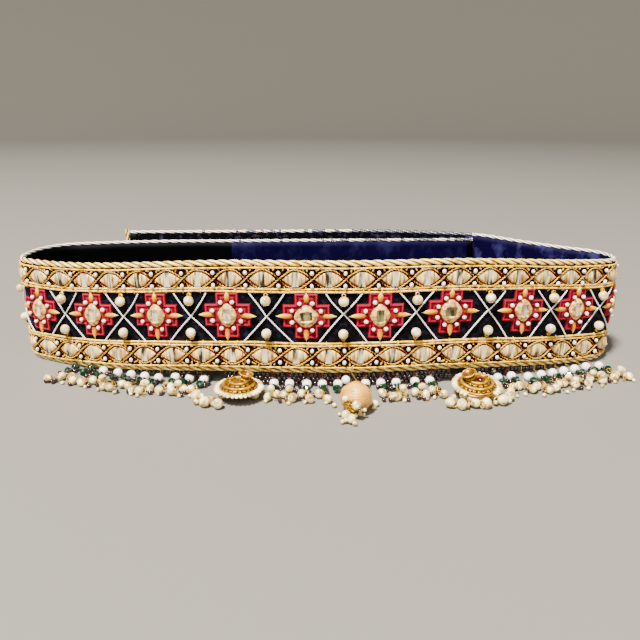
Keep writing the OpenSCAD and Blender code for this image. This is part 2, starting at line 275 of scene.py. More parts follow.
STEP = 2.0
EDGE_ROUND = 0.5
outer = [(FACE_OUT - EDGE_ROUND * (z in (WALL_LOW, WALL_HIGH)), z)
         for z in np.linspace(WALL_LOW, WALL_HIGH, 25)]
section = outer + [(CLOTH_BACK, WALL_HIGH), (CLOTH_BACK, BELT_MIDDLE), (CLOTH_BACK, WALL_LOW)]
stations = np.arange(-LEFT_END, RIGHT_END, STEP).tolist() + [RIGHT_END]
band_points = [(s, out, z) for s in stations for out, z in section]
band_mesh = laid(mesh_of("band_cloth", band_points, ring_faces(len(stations), len(section))))
band_cloth = piece("band_cloth", band_mesh, navy_cloth, ["band"])

# THE LINING
# Navy satin glued and sewn to the inside, where the loop's bends press it into upright puckers.
# Beside the overlap, on the left, a length of it is painted black as painted shade; a strip at the inner
# end is painted black as the painted shadow beside that end, and a strip at the outer end is painted black.
# the length painted black as painted shade: from and to these places along the belt
PAINTED_SHADE_SPAN = (-328.0, -180.0)
INNER_SHADOW_STRIP, OUTER_STRIP = 3.5, 10.5
satin, tree = material("navy satin lining")
where = add(tree, "ShaderNodeUVMap", uv_map="laid").outputs[0]
at = add(tree, "ShaderNodeSeparateXYZ", {0: where}).outputs[0]
after = add(tree, "ShaderNodeMath", {0: at, 1: PAINTED_SHADE_SPAN[0]}, operation="GREATER_THAN")
before = add(tree, "ShaderNodeMath", {0: at, 1: PAINTED_SHADE_SPAN[1]}, operation="LESS_THAN")
painted_shade_span = add(tree, "ShaderNodeMath", {0: after.outputs[0], 1: before.outputs[0]}, operation="MULTIPLY")
# a strip at the inner end painted black: the painted shadow beside that end
inner_shadow_strip = add(tree, "ShaderNodeMath", {0: at, 1: INNER_SHADOW_STRIP - LEFT_END}, operation="LESS_THAN")
outer_strip = add(tree, "ShaderNodeMath", {0: at, 1: RIGHT_END - OUTER_STRIP}, operation="GREATER_THAN")
ends = add(tree, "ShaderNodeMath", {
    0: inner_shadow_strip.outputs[0], 1: outer_strip.outputs[0]}, operation="MAXIMUM")
black = add(tree, "ShaderNodeMath", {0: painted_shade_span.outputs[0], 1: ends.outputs[0]}, operation="MAXIMUM")
stretch = add(tree, "ShaderNodeMapping", {"Vector": where, "Scale": (1.0, 0.6, 1.0)})
# pale clouds on the navy satin: painted sheen
sheen_clouds = add(tree, "ShaderNodeTexNoise", {
    "Vector": stretch.outputs[0], "Scale": 0.1, "Detail": 5.0, "Roughness": 0.6})
painted_sheen_share = add(tree, "ShaderNodeMapRange", {0: sheen_clouds.outputs[0], 1: 0.5, 2: 0.74})
# the painted sheen is weaker on the inner end's side of the loop, and full on the other side
sheen_by_side = add(tree, "ShaderNodeMapRange", {0: at, 1: -100.0, 2: 100.0, 3: 0.3, 4: 1.0})
painted_sheen = add(tree, "ShaderNodeMath", {0: painted_sheen_share.outputs[0], 1: sheen_by_side.outputs[0]}, operation="MULTIPLY")
navy = blend(tree, painted_sheen.outputs[0], "#04001c", "#2e2b52")
fine = add(tree, "ShaderNodeTexWave", {"Vector": where, "Scale": 0.9, "Distortion": 0.4}, bands_direction="X")
satin_bump = add(tree, "ShaderNodeBump", {"Height": fine.outputs[1], "Strength": 0.1, "Distance": 0.0002})
painted(tree, {
    "Base Color": blend(tree, black.outputs[0], navy, "#000001"), "Roughness": 0.55,
    "Normal": satin_bump.outputs[0], "Specular IOR Level": 0.03})

# columns: place along the belt, width, height off the wall, slant
rng = np.random.default_rng(11)
PUCKERS = [(rng.uniform(-LEFT_END, RIGHT_END), rng.uniform(2.5, 7.0), rng.uniform(0.15, 0.45),
            rng.uniform(-0.3, 0.3)) for _ in range(150)]
PUCKER_MOST = 0.9
PUCKER_STEP = 1.25


def pucker(s, z):
    """How far the satin stands off the wall: upright folds, flat where it is sewn along both edges."""
    folds = sum(high * np.exp(-(((s - at - slant * (z - BELT_MIDDLE)) / wide) ** 2))
                for at, wide, high, slant in PUCKERS)
    return np.minimum(folds, PUCKER_MOST) * np.sin(math.pi * (z - WALL_LOW) / (WALL_HIGH - WALL_LOW)) ** 0.6


inside_z = np.linspace(WALL_HIGH, WALL_LOW, 17)
stations = np.append(np.arange(-LEFT_END, RIGHT_END, PUCKER_STEP), RIGHT_END)
grid_s, grid_z = np.meshgrid(stations, inside_z, indexing="ij")
sewn_down = (grid_z > WALL_LOW) * (grid_z < WALL_HIGH)
inside = np.stack([grid_s, -FACE_OUT - pucker(grid_s, grid_z) * sewn_down, grid_z], -1)
backing = np.stack([np.repeat(stations[:, None], 2, 1), np.full((len(stations), 2), CLOTH_BACK - 0.1),
                    np.tile([WALL_LOW, WALL_HIGH], (len(stations), 1))], -1)
lining_points = np.concatenate([inside, backing], 1)
lining_faces = ring_faces(*lining_points.shape[:2])
lining_mesh = laid(mesh_of("satin_lining", lining_points.reshape(-1, 3), lining_faces))
lining_mesh.flip_normals()
satin_lining = piece("satin_lining", lining_mesh, satin, ["lining"])

# THE CLOSURE
# Hook-and-loop tape between the overlapping ends: stiff hooks face out on the inner end, a napped
# loop face looks in on the outer end. Both are sewn on in wide strips of dull navy nylon.
TAPE_THICK = 0.9
TAPE_LOW = 5.0
TAPE_EDGE = 4.0
TAPE_ROWS = 20
HOOK_LONG = 170.0
LAP = RIGHT[-1][0]
# columns: name, node, start, end, inner face, upper edge, two tones, scale of the nap
TAPES = (("hook_tape", "closure_hook", TAPE_EDGE - LEFT_END, TAPE_EDGE + HOOK_LONG - LEFT_END, FACE_OUT + 0.1,
          55.0, ("#000002", "#1c1218"), 0.4),
         ("loop_tape", "closure_loop", RIGHT_END - LAP + TAPE_EDGE, RIGHT_END - TAPE_EDGE, -FACE_OUT - 1.0,
          WALL_HIGH, ("#010102", "#1c1620"), 0.3))
for name, node, first, last, near, high, tones, scale in TAPES:
    # Nylon tape, dull: small pits that catch no light, with paler flecks of fluff
    nylon, tree = material(name.replace("_", " ") + " nylon")
    where = add(tree, "ShaderNodeUVMap", uv_map="laid").outputs[0]
    nap = add(tree, "ShaderNodeTexVoronoi", {"Vector": where, "Scale": scale})
    rough = add(tree, "ShaderNodeTexNoise", {"Vector": where, "Scale": scale, "Detail": 6.0})
    fleck = add(tree, "ShaderNodeMapRange", {0: rough.outputs[0], 1: 0.55, 2: 0.68})
    tape_bump = add(tree, "ShaderNodeBump", {"Height": nap.outputs[0], "Strength": 0.8, "Distance": 0.0006})
    painted(tree, {
        "Base Color": blend(tree, fleck.outputs[0], *tones), "Roughness": 0.9, "Normal": tape_bump.outputs[0],
        "Specular IOR Level": 0.02})
    stations = np.append(np.arange(first, last, STEP), last)
    rows = np.linspace(TAPE_LOW, high, TAPE_ROWS)
    section = [(near + TAPE_THICK, z) for z in rows] + [(near, rows[-1]), (near, rows[0])]
    # every other point of the face is pressed in a little, so that it isn't flat
    points = [(s, out - 0.15 * (i % 2 == int(s) % 2) * (0 < i < TAPE_ROWS - 1), z)
              for s in stations for i, (out, z) in enumerate(section)]
    tape_mesh = laid(mesh_of(name, points, ring_faces(len(stations), len(section))))
    tape = piece(name, tape_mesh, nylon, [node])

# THE TWISTED ROPES
# Metallic thread wound round a soft core, three such plies laid into a thick rope along both edges.
# The lay is long, so the light runs along each ply in slanting streaks, with painted shade in the dark lines
# between.


def growth(name, sizes):
    """A geometry tree that takes a mesh and named sizes."""
    tree = bpy.data.node_groups.new(name, "GeometryNodeTree")
    tree.interface.new_socket(name="Geometry", in_out="INPUT", socket_type="NodeSocketGeometry")
    for label, kind in sizes.items():
        tree.interface.new_socket(name=label, in_out="INPUT", socket_type="NodeSocket" + kind)
    tree.interface.new_socket(name="Geometry", in_out="OUTPUT", socket_type="NodeSocketGeometry")
    return tree, tree.nodes.new("NodeGroupInput").outputs


def finished(tree, geometry, finish):
    """Ends a geometry tree: real faces, with their material."""
    real = add(tree, "GeometryNodeRealizeInstances", {0: geometry})
    dressed = add(tree, "GeometryNodeSetMaterial", {0: real.outputs[0], "Material": finish})
    add(tree, "NodeGroupOutput", {0: dressed.outputs[0]})


def grown(name, tree, mesh, **values):
    """The plain mesh that a tree makes from a mesh and its sizes."""
    source = bpy.data.objects.new(name, mesh)
    bpy.context.scene.collection.objects.link(source)
    modifier = source.modifiers.new("growth", "NODES")
    modifier.node_group = tree
    for item in tree.interface.items_tree:
        if item.in_out == "INPUT" and item.name in values:
            modifier[item.identifier] = values[item.name]
    ready = source.evaluated_get(bpy.context.evaluated_depsgraph_get())
    result = bpy.data.meshes.new_from_object(ready)
    bpy.data.objects.remove(source)
    return result


# The plies of a cord: each runs round the cord's course once in every length of lay
plies_tree, given = growth("laid plies", {
    "Ply": "Float", "Offset": "Float", "Lay": "Float", "Plies": "Int", "Step": "Float", "Sides": "Int",
    "Finish": "Material"})
line = add(plies_tree, "GeometryNodeMeshToCurve", {0: given["Geometry"]})
even = add(plies_tree, "GeometryNodeResampleCurve", {
    "Curve": line.outputs[0], "Length": given["Step"]}, mode="LENGTH")
copies = add(plies_tree, "GeometryNodeDuplicateElements", {
    "Geometry": even.outputs[0], "Amount": given["Plies"]}, domain="SPLINE")
share = add(plies_tree, "ShaderNodeMath", {0: copies.outputs[1], 1: given["Plies"]}, operation="DIVIDE")
gone = add(plies_tree, "GeometryNodeSplineParameter").outputs["Length"]
rounds = add(plies_tree, "ShaderNodeMath", {0: gone, 1: given["Lay"]}, operation="DIVIDE")
phase = add(plies_tree, "ShaderNodeMath", {0: rounds.outputs[0], 1: share.outputs[0]}, operation="ADD")
angle = add(plies_tree, "ShaderNodeMath", {0: phase.outputs[0], 1: math.tau}, operation="MULTIPLY").outputs[0]
normal = add(plies_tree, "GeometryNodeInputNormal").outputs[0]
tangent = add(plies_tree, "GeometryNodeInputTangent").outputs[0]
square = add(plies_tree, "ShaderNodeVectorMath", {
    0: tangent, 1: normal}, operation="CROSS_PRODUCT").outputs[0]
parts = []
for direction, function in ((normal, "COSINE"), (square, "SINE")):
    turn = add(plies_tree, "ShaderNodeMath", {0: angle}, operation=function)
    size = add(plies_tree, "ShaderNodeMath", {0: turn.outputs[0], 1: given["Offset"]}, operation="MULTIPLY")
    parts.append(add(plies_tree, "ShaderNodeVectorMath", {
        0: direction, "Scale": size.outputs[0]}, operation="SCALE"))
move = add(plies_tree, "ShaderNodeVectorMath", {0: parts[0].outputs[0], 1: parts[1].outputs[0]})
spot = add(plies_tree, "GeometryNodeInputPosition").outputs[0]
cored = add(plies_tree, "GeometryNodeStoreNamedAttribute", {
    "Geometry": copies.outputs[0], "Name": "core", "Value": spot}, data_type="FLOAT_VECTOR", domain="POINT")
placed = add(plies_tree, "GeometryNodeSetPosition", {"Geometry": cored.outputs[0], "Offset": move.outputs[0]})
kept = add(plies_tree, "GeometryNodeStoreNamedAttribute", {
    "Geometry": placed.outputs[0], "Name": "along", "Value": gone}, data_type="FLOAT", domain="POINT")
round_ply = add(plies_tree, "GeometryNodeCurvePrimitiveCircle", {
    "Resolution": given["Sides"], "Radius": given["Ply"]})
tube = add(plies_tree, "GeometryNodeCurveToMesh", {
    "Curve": kept.outputs[0], "Profile Curve": round_ply.outputs[0], "Fill Caps": True})
# crest: 1 on the outside of a ply and less in the grooves between the plies
core = add(plies_tree, "GeometryNodeInputNamedAttribute", {"Name": "core"}, data_type="FLOAT_VECTOR")
from_core = add(plies_tree, "ShaderNodeVectorMath", {
    0: spot, 1: core.outputs[0]}, operation="DISTANCE").outputs["Value"]
beyond = add(plies_tree, "ShaderNodeMath", {0: from_core, 1: given["Offset"]}, operation="SUBTRACT")
crest = add(plies_tree, "ShaderNodeMath", {0: beyond.outputs[0], 1: given["Ply"]}, operation="DIVIDE")
crested = add(plies_tree, "GeometryNodeStoreNamedAttribute", {
    "Geometry": tube.outputs[0], "Name": "crest", "Value": crest.outputs[0]},
              data_type="FLOAT", domain="POINT")
smooth = add(plies_tree, "GeometryNodeSetShadeSmooth", {0: crested.outputs[0]})
finished(plies_tree, smooth.outputs[0], given["Finish"])


def cords(name, lines, thick, finish, plies=1, lay_length=4.0, step=0.6, sides=6, ply=None):
    """A mesh of cords of that thickness on lines of places in metres, each of several plies."""
    mesh = bpy.data.meshes.new(name)
    edges, points = [], []
    for line in lines:
        edges += [(len(points) + i, len(points) + i + 1) for i in range(len(line) - 1)]
        points += [tuple(p) for p in line]
    mesh.from_pydata(points, edges, [])
    # plies of this radius, at this distance from the middle, touch each other and fill the thickness; they
    # are drawn 1.08 times as thick, because real ones are pressed together
    if ply is None and plies == 1:
        ply = thick / 2
    elif ply is None:
        ply = thick / 2 * math.sin(math.pi / plies) / (1 + math.sin(math.pi / plies)) * 1.08
    return grown(name, plies_tree, mesh, Ply=ply * MM, Offset=(thick / 2 - ply) * MM, Lay=lay_length * MM,
                 Plies=plies, Step=step * MM, Sides=sides, Finish=finish)


def metallic_thread(name, light, dark, deep, winding, metal=0.5, roughness=0.4):
    """Thread wound with flat metal strip: a satin gloss, worn in places, paler at the back of a rope as a
    painted highlight, and painted shade in the grooves between plies.
    """
    made, tree = material(name)
    run = add(tree, "ShaderNodeAttribute", attribute_name="along").outputs["Fac"]
    turns_of = add(tree, "ShaderNodeMath", {0: run, 1: math.tau / (winding * MM)}, operation="MULTIPLY")
    wave = add(tree, "ShaderNodeMath", {0: turns_of.outputs[0]}, operation="SINE")
    where = add(tree, "ShaderNodeTexCoord").outputs["Object"]
    worn = add(tree, "ShaderNodeTexNoise", {"Vector": where, "Scale": 420.0, "Detail": 3.0})
    tone = add(tree, "ShaderNodeMapRange", {0: worn.outputs[0], 1: 0.3, 2: 0.55})
    bump = add(tree, "ShaderNodeBump", {"Height": wave.outputs[0], "Strength": 0.35, "Distance": 0.00012})
    crest = add(tree, "ShaderNodeAttribute", attribute_name="crest").outputs["Fac"]
    # painted shade deep in the grooves between plies, and a paler crest, partly a painted highlight
    groove_shade_share = add(tree, "ShaderNodeMapRange", {0: crest, 1: 0.05, 2: 0.42}, interpolation_type="SMOOTHSTEP")
    ridge = add(tree, "ShaderNodeMapRange", {0: crest, 1: 0.5, 2: 0.86}, interpolation_type="SMOOTHSTEP")
    flank_shade = blend(tree, groove_shade_share.outputs[0], deep, dark)
    crown = blend(tree, tone.outputs[0], dark, light)
    # where a rope runs round the back its crown is painted silver-white: a painted highlight, as only its top
    # catches the light there
    back_highlight = add(tree, "ShaderNodeAttribute", attribute_name="worn").outputs["Fac"]
    crown = blend(tree, back_highlight, crown, "#fffbee")
    painted(tree, {
        "Base Color": blend(tree, ridge.outputs[0], flank_shade, crown), "Metallic": metal, "Roughness": roughness,
        "Normal": bump.outputs[0]})
    return made


def mottled(name, low, high, scale, finish, span=None, detail=2.0, bump=None, squeeze=None, distortion=0.0):
    """Clouds of two colours, in the piece or, with a squeeze, along the cloth; bump is (strength, mm)."""
    made, tree = material(name)
    if squeeze:
        cloth = add(tree, "ShaderNodeUVMap", uv_map="laid").outputs[0]
        where = add(tree, "ShaderNodeMapping", {"Vector": cloth, "Scale": (1.0, squeeze, 1.0)}).outputs[0]
    else:
        where = add(tree, "ShaderNodeTexCoord").outputs["Object"]
    cloud = add(tree, "ShaderNodeTexNoise", {
        "Vector": where, "Scale": scale, "Detail": detail, "Distortion": distortion}).outputs[0]
    share = add(tree, "ShaderNodeMapRange", {0: cloud, 1: span[0], 2: span[1]}).outputs[0] if span else cloud
    # with a bump, the first colour lies in the bump's hollows
    if bump:
        lumps = add(tree, "ShaderNodeBump", {"Height": cloud, "Strength": bump[0], "Distance": bump[1] * MM})
        finish = finish | {"Normal": lumps.outputs[0]}
    painted(tree, finish | {"Base Color": blend(tree, share, low, high)})
    return made


# Gold-wound rope: pale gold on top of each ply, partly a painted highlight, and brown painted shade between
# them; windings drawn 0.8 mm apart to show
rope_gold = metallic_thread("gold wound rope", "#fff080", "#a46406", "#240600", 0.8, metal=0.1, roughness=0.3)
ROPE = 3.2
ROPE_LAY = 17.5
# round the back the rope is pulled thinner and painted pale as a painted highlight, from this far aside on,
# over this length
BACK_THIN = 0.62
THIN_FROM, THIN_OVER = 150.0, 50.0


def thinned(mesh):
    """Draws a rope thinner from the bends to the back, and marks it there to be painted paler, a painted
    highlight.
    """
    n = len(mesh.vertices)
    co, core_co, gone = np.zeros(n * 3), np.zeros(n * 3), np.zeros(n)
    mesh.vertices.foreach_get("co", co)
    mesh.attributes["core"].data.foreach_get("vector", core_co)
    mesh.attributes["along"].data.foreach_get("value", gone)
    behind = ease((np.abs(gone / MM - LEFT_END) - THIN_FROM) / THIN_OVER)
    keep = np.repeat(1 - (1 - BACK_THIN) * behind, 3)
    mesh.vertices.foreach_set("co", core_co + (co - core_co) * keep)
    # the share painted pale round the back: a painted highlight
    mesh.attributes.new("worn", "FLOAT", "POINT").data.foreach_set("value", behind)
    mesh.update()
    return mesh


whole_course = np.append(np.arange(-LEFT_END, RIGHT_END, 1.0), RIGHT_END)
# the top rope has sunk by this much and lies this far out
TOP_SUNK, TOP_OUT = 0.9, 0.4
TOP_Z = BELT_HIGH - ROPE / 2 - TOP_SUNK
for name, out, z, node in (("top_rope_plies", TOP_OUT, TOP_Z, "top_rope"),
                           ("bottom_rope_plies", 0.0, ROPE / 2, "bottom_rope")):
    rope_mesh = cords(name, [along(whole_course, out, z)], ROPE, rope_gold, plies=3, lay_length=ROPE_LAY,
                      step=1.2, sides=10)
    piece(name, thinned(rope_mesh), None, [node])
END_GAP = 0.4
end_line = lay([(RIGHT_END + ROPE / 2 + 0.1, 0, z) for z in np.linspace(END_GAP, BELT_HIGH - END_GAP, 30)])
end_mesh = cords("end_rope_plies", [end_line], ROPE * 0.8, rope_gold, plies=3, lay_length=ROPE_LAY, step=1.0,
                 sides=10)
piece("end_rope_plies", end_mesh, None, ["end_rope"])

# At the back the ropes are bound with navy cotton, matt, in lengths that leave short pieces of gold bare
bound_blue = mottled("navy binding thread", "#05040f", "#20203c", 250.0, {"Roughness": 0.6})
# columns: where a binding starts and where it ends, from the inner end and from the outer end
INNER_BOUND = ((0.5, 12), (14, 17), (24, 38), (43, 46), (54, 69), (78, 85), (88, 90), (94, 96), (120, 122),
               (146, 148))
OUTER_BOUND = ((45, 47), (66, 68), (72, 79), (82, 84), (87, 91), (93, 95), (109, 112), (114, 123),
               (128, 132), (139, 217))
bound = [(-LEFT_END + a, -LEFT_END + b) for a, b in INNER_BOUND]
bound += [(RIGHT_END - b, RIGHT_END - a) for a, b in OUTER_BOUND]
bindings = [along(np.arange(start, end, 0.8), TOP_OUT, TOP_Z) for start, end in bound]
WHIP_PITCH = 0.85
binding_mesh = cords("binding", bindings, ROPE * BACK_THIN + 0.6, bound_blue, lay_length=WHIP_PITCH,
                     step=0.09, sides=4, ply=0.4)
piece("rope_binding", binding_mesh, None)

# THE COUCHED GOLD LINES
# Pairs of thin gold cords laid side by side and tied down between each border and the field, with one
# more beside each rope. A tie crosses them every few millimetres.
# Gold cord, satin, with its windings drawn 0.6 mm apart, and painted shade between its plies where it has two
braid_gold = metallic_thread("gold couched cord", "#ffc840", "#804804", "#240400", 0.6, metal=0.1,
                             roughness=0.3)
# height of each line, and how thick its cord is
LINES = {LINE_LOW + 0.75: 1.1, LINE_LOW - 0.7: 1.0, LINE_HIGH + 0.7: 1.0, LINE_HIGH - 0.75: 1.1, 3.5: 0.9,
         55.5: 0.9}
TIE_PITCH = 9.0
shown_course = np.append(np.arange(COVER, RIGHT_END, 1.5), RIGHT_END)
couched = []
for k, (z, thick) in enumerate(LINES.items()):
    # sewn by hand, so each line wanders; the upper pair climbs a little towards the sides
    wander = 0.14 * np.sin(shown_course / 9.3 + k) + 0.06 * np.sin(shown_course / 3.9 + 2 * k)
    if LINE_HIGH - 1 < z < LINE_HIGH + 1:
        wander += 0.2 + 0.6 * ease((np.abs(shown_course) - 40) / 60)
    line = along(shown_course, FACE_OUT + thick / 2 + 0.1, z + wander)
    couched.append(cords(f"line_{k}", [line], thick, braid_gold, step=1.2, sides=8))


def joined(name, meshes):
    """One mesh out of several, with their materials."""
    together = bmesh.new()
    slots = []
    for mesh in meshes:
        start = len(together.faces)
        together.from_mesh(mesh)
        together.faces.ensure_lookup_table()
        slots += [m for m in mesh.materials if m not in slots]
        for face in together.faces[start:]:
            face.material_index = slots.index(mesh.materials[face.material_index])
    result = bpy.data.meshes.new(name)
    together.to_mesh(result)
    together.free()
    for m in slots:
        result.materials.append(m)
    return result


# a tie arches over the pair in six short steps
tie_lines = [lay([(s + 0.25 * math.sin(i), FACE_OUT + 0.15 + 1.35 * math.sin(math.pi * i / 6),
                   z + (i - 3) * 0.5) for i in range(7)])
             for z in (LINE_LOW, LINE_HIGH) for s in np.arange(COVER + 3, RIGHT_END, TIE_PITCH)]
couched.append(cords("ties", tie_lines, 0.36, braid_gold, step=0.5, sides=5))
piece("gold_lines", joined("gold_lines", couched), None, ["border_lines"])

# THE EYE BORDERS
# Each border is a chain of almond eyes: a strip of mirror glass held under two folds of gold tissue that
# draw to a point. Two gold cords wave past each other round the eyes, with a seed pearl above and below
# each crossing and scraps of gold coil in the corners.
EYE_PITCH = 16.2
EYE_HALF = 6.5
EYE_TALL = 4.0
GLASS_HALF, GLASS_TALL, GLASS_THICK = 1.75, 7.3, 1.0
BORDER_Z = (9.7, BELT_HIGH - 10.1)
eyes_first, eyes_last = math.ceil((COVER + 1) / EYE_PITCH), math.floor((RIGHT_END - 1) / EYE_PITCH)

sow_tree, given = growth("sown pieces", {
    "Piece": "Object", "Turn": "Float", "Size": "Float", "Seed": "Int", "Finish": "Material"})
seen = add(sow_tree, "GeometryNodeObjectInfo", {"Object": given["Piece"]}, transform_space="ORIGINAL")
heading = add(sow_tree, "GeometryNodeInputNamedAttribute", {"Name": "heading"}, data_type="FLOAT")
facing = add(sow_tree, "ShaderNodeCombineXYZ", {2: heading.outputs[0]})
less = add(sow_tree, "ShaderNodeMath", {0: given["Turn"], 1: -1.0}, operation="MULTIPLY")
spin = add(sow_tree, "FunctionNodeRandomValue", {
    0: less.outputs[0], 1: given["Turn"], "Seed": given["Seed"]}, data_type="FLOAT_VECTOR")
turned = add(sow_tree, "ShaderNodeVectorMath", {0: facing.outputs[0], 1: spin.outputs[0]})
small = add(sow_tree, "ShaderNodeMath", {0: 1.0, 1: given["Size"]}, operation="SUBTRACT")
large = add(sow_tree, "ShaderNodeMath", {0: 1.0, 1: given["Size"]}, operation="ADD")
sizes = add(sow_tree, "FunctionNodeRandomValue", {
    0: small.outputs[0], 1: large.outputs[0], "Seed": given["Seed"]}, data_type="FLOAT_VECTOR")
sown = add(sow_tree, "GeometryNodeInstanceOnPoints", {
    "Points": given["Geometry"], "Instance": seen.outputs["Geometry"], "Rotation": turned.outputs[0],
    "Scale": sizes.outputs[0]})
finished(sow_tree, sown.outputs[0], given["Finish"])


def sow(name, shape, spots, finish, headings=None, turn=0.0, size=0.0, seed=1):
    """A mesh with one copy of a shape at each spot, in metres, each turned and sized a little differently."""
    template = bpy.data.objects.new(name + "_template", shape)
    bpy.context.scene.collection.objects.link(template)
    points = bpy.data.meshes.new(name)
    points.from_pydata([tuple(p) for p in spots], [], [])
    facing = points.attributes.new("heading", "FLOAT", "POINT")
    headings = np.zeros(len(spots)) if headings is None else np.asarray(headings, float)
    facing.data.foreach_set("value", headings)
    result = grown(name, sow_tree, points, Piece=template, Turn=turn, Size=size, Seed=seed, Finish=finish)
    bpy.data.objects.remove(template)
    return result


def sewn(name, shape, spots, finish, **how):
    """Sows a shape at places on the belt, in millimetres, each facing straight out."""
    _, _, headings = place([s for s, out, z in spots])
    return sow(name, shape, lay(spots), finish, headings, **how)


def ball(wide, segments=16, rings=10, tall=None):
    """A round bead, or a longer one, with its poles up and down."""
    made = bmesh.new()
    bmesh.ops.create_uvsphere(made, u_segments=segments, v_segments=rings, radius=wide / 2 * MM)
    bmesh.ops.scale(made, vec=(1, 1, (tall or wide) / wide), verts=made.verts)
    mesh = bpy.data.meshes.new("bead")
    made.to_mesh(mesh)
    made.free()
    mesh.shade_smooth()
    return mesh


# Gold tissue, a thin silk woven with flat gold: pale beige, a satin gloss, and upright creases about a
# millimetre apart, painted darker in their hollows as painted shade
tissue = mottled("gold tissue silk", "#804e1c", "#ffd880", 0.95, {"Metallic": 0.1, "Roughness": 0.42},
                 span=(0.36, 0.62), detail=4.0, bump=(0.7, 0.6), squeeze=0.14)


def folded_end(side):
    """One fold of tissue: from a raised roll beside the glass down to the eye's point, pleated like a fan."""
    nu, nv = 10, 9
    inner = GLASS_HALF - 0.25
    points, faces = [], []
    for layer in (1, 0):
        for i in range(nu):
            u = i / (nu - 1)
            x = inner + (EYE_HALF - inner) * u
            tall = EYE_TALL * max(1 - (x / EYE_HALF) ** 1.9, 0.04)
            for j in range(nv):
                v = 2 * j / (nv - 1) - 1
                dome = 1.2 * (1 - 0.62 * u) * (1 - abs(v) ** 3) + 0.25
                roll = 0.35 * math.exp(-((u - 0.08) / 0.1) ** 2) * (1 - v * v)
                pleat = 0.12 * math.cos(v * 9.5) * (1 - u * 0.6)
                points.append((side * x, (dome + roll + pleat * (abs(v) < 0.95)) * layer, tall * v))
    under = nu * nv
    for i in range(nu - 1):
        for j in range(nv - 1):
            a = i * nv + j
            b = a + under
            faces += [(a, a + 1, a + nv + 1, a + nv), (b, b + nv, b + nv + 1, b + 1)]
    rim = list(range(nv)) + [i * nv + nv - 1 for i in range(1, nu)]
    rim += [(nu - 1) * nv + j for j in range(nv - 2, -1, -1)] + [i * nv for i in range(nu - 2, 0, -1)]
    for a, b in zip(rim, rim[1:] + rim[:1]):
        faces.append((b, a, a + under, b + under))
    return points, faces


def outward(mesh):
    """Turns every face of a closed mesh to look outwards."""
    made = bmesh.new()
    made.from_mesh(mesh)
    bmesh.ops.recalc_face_normals(made, faces=made.faces)
    made.to_mesh(mesh)
    made.free()
    return mesh


left_points, left_faces = folded_end(-1)
right_points, right_faces = folded_end(1)
shift = len(left_points)
eye_faces = left_faces + [tuple(i + shift for i in face) for face in right_faces]
eye_shape = outward(mesh_of("eye", left_points + right_points, eye_faces))
eye_spots = [((k + 0.5) * EYE_PITCH * MM, (FACE_OUT + 0.1) * MM, z * MM)
             for z in BORDER_Z for k in range(eyes_first, eyes_last)]
eye_mesh = laid(sow("eye_tissue", eye_shape, eye_spots, tissue, turn=0.035, size=0.05, seed=3))
piece("eye_tissue", eye_mesh, None, ["upper_border", "lower_border"])

# Mirror glass, thin and a little wavy, with a painted reflection: each piece is painted with its own upright
# strip of the room, which is dark or bright
mirror, tree = material("thin mirror glass")
where = add(tree, "ShaderNodeUVMap", uv_map="laid").outputs[0]
upright = add(tree, "ShaderNodeMapping", {"Vector": where, "Scale": (1.0, 0.16, 1.0)})
painted_reflection_noise = add(tree, "ShaderNodeTexNoise", {"Vector": upright.outputs[0], "Scale": 0.62, "Detail": 3.0})
broad = add(tree, "ShaderNodeTexNoise", {"Vector": where, "Scale": 0.09, "Detail": 1.0})
both = add(tree, "ShaderNodeMath", {0: painted_reflection_noise.outputs[0], 1: broad.outputs[0]})
tone = add(tree, "ShaderNodeMapRange", {0: both.outputs[0], 1: 0.86, 2: 1.1})
bump = add(tree, "ShaderNodeBump", {"Height": painted_reflection_noise.outputs[0], "Strength": 0.3, "Distance": 0.0003})
painted(tree, {
    "Base Color": blend(tree, tone.outputs[0], "#30240c", "#f8ecc0"), "Metallic": 0.5, "Roughness": 0.2,
    "Normal": bump.outputs[0]})


def plate(wide, tall, thick, bulge=0.0, bevel=0.15):
    """A thin plate that stands up on the cloth, with worn edges and, if asked, a bowed face."""
    made = bmesh.new()
    n = 5
    face = [(x, thick + bulge * (1 - (2 * x / wide) ** 2))
            for x in np.linspace(bevel - wide / 2, wide / 2 - bevel, n)]
    verts = [[made.verts.new((x * MM, y * MM, z * MM)) for z in np.linspace(-tall / 2, tall / 2, n)]
             for x, y in [(-wide / 2, 0), *face, (wide / 2, 0)]]
    for here, beyond in zip(verts, verts[1:] + verts[:1]):
        for j in range(n - 1):
            made.faces.new([here[j], here[j + 1], beyond[j + 1], beyond[j]])
    made.faces.new([v[0] for v in verts])
    made.faces.new([v[-1] for v in verts][::-1])
    bmesh.ops.recalc_face_normals(made, faces=made.faces)
    mesh = bpy.data.meshes.new("plate")
    made.to_mesh(mesh)
    made.free()
    return mesh


glass_shape = plate(GLASS_HALF * 2, GLASS_TALL, GLASS_THICK, bulge=0.12)
glass_mesh = laid(sow("eye_glass", glass_shape, eye_spots, mirror, turn=0.05, seed=8))
piece("eye_glass", glass_mesh, None)

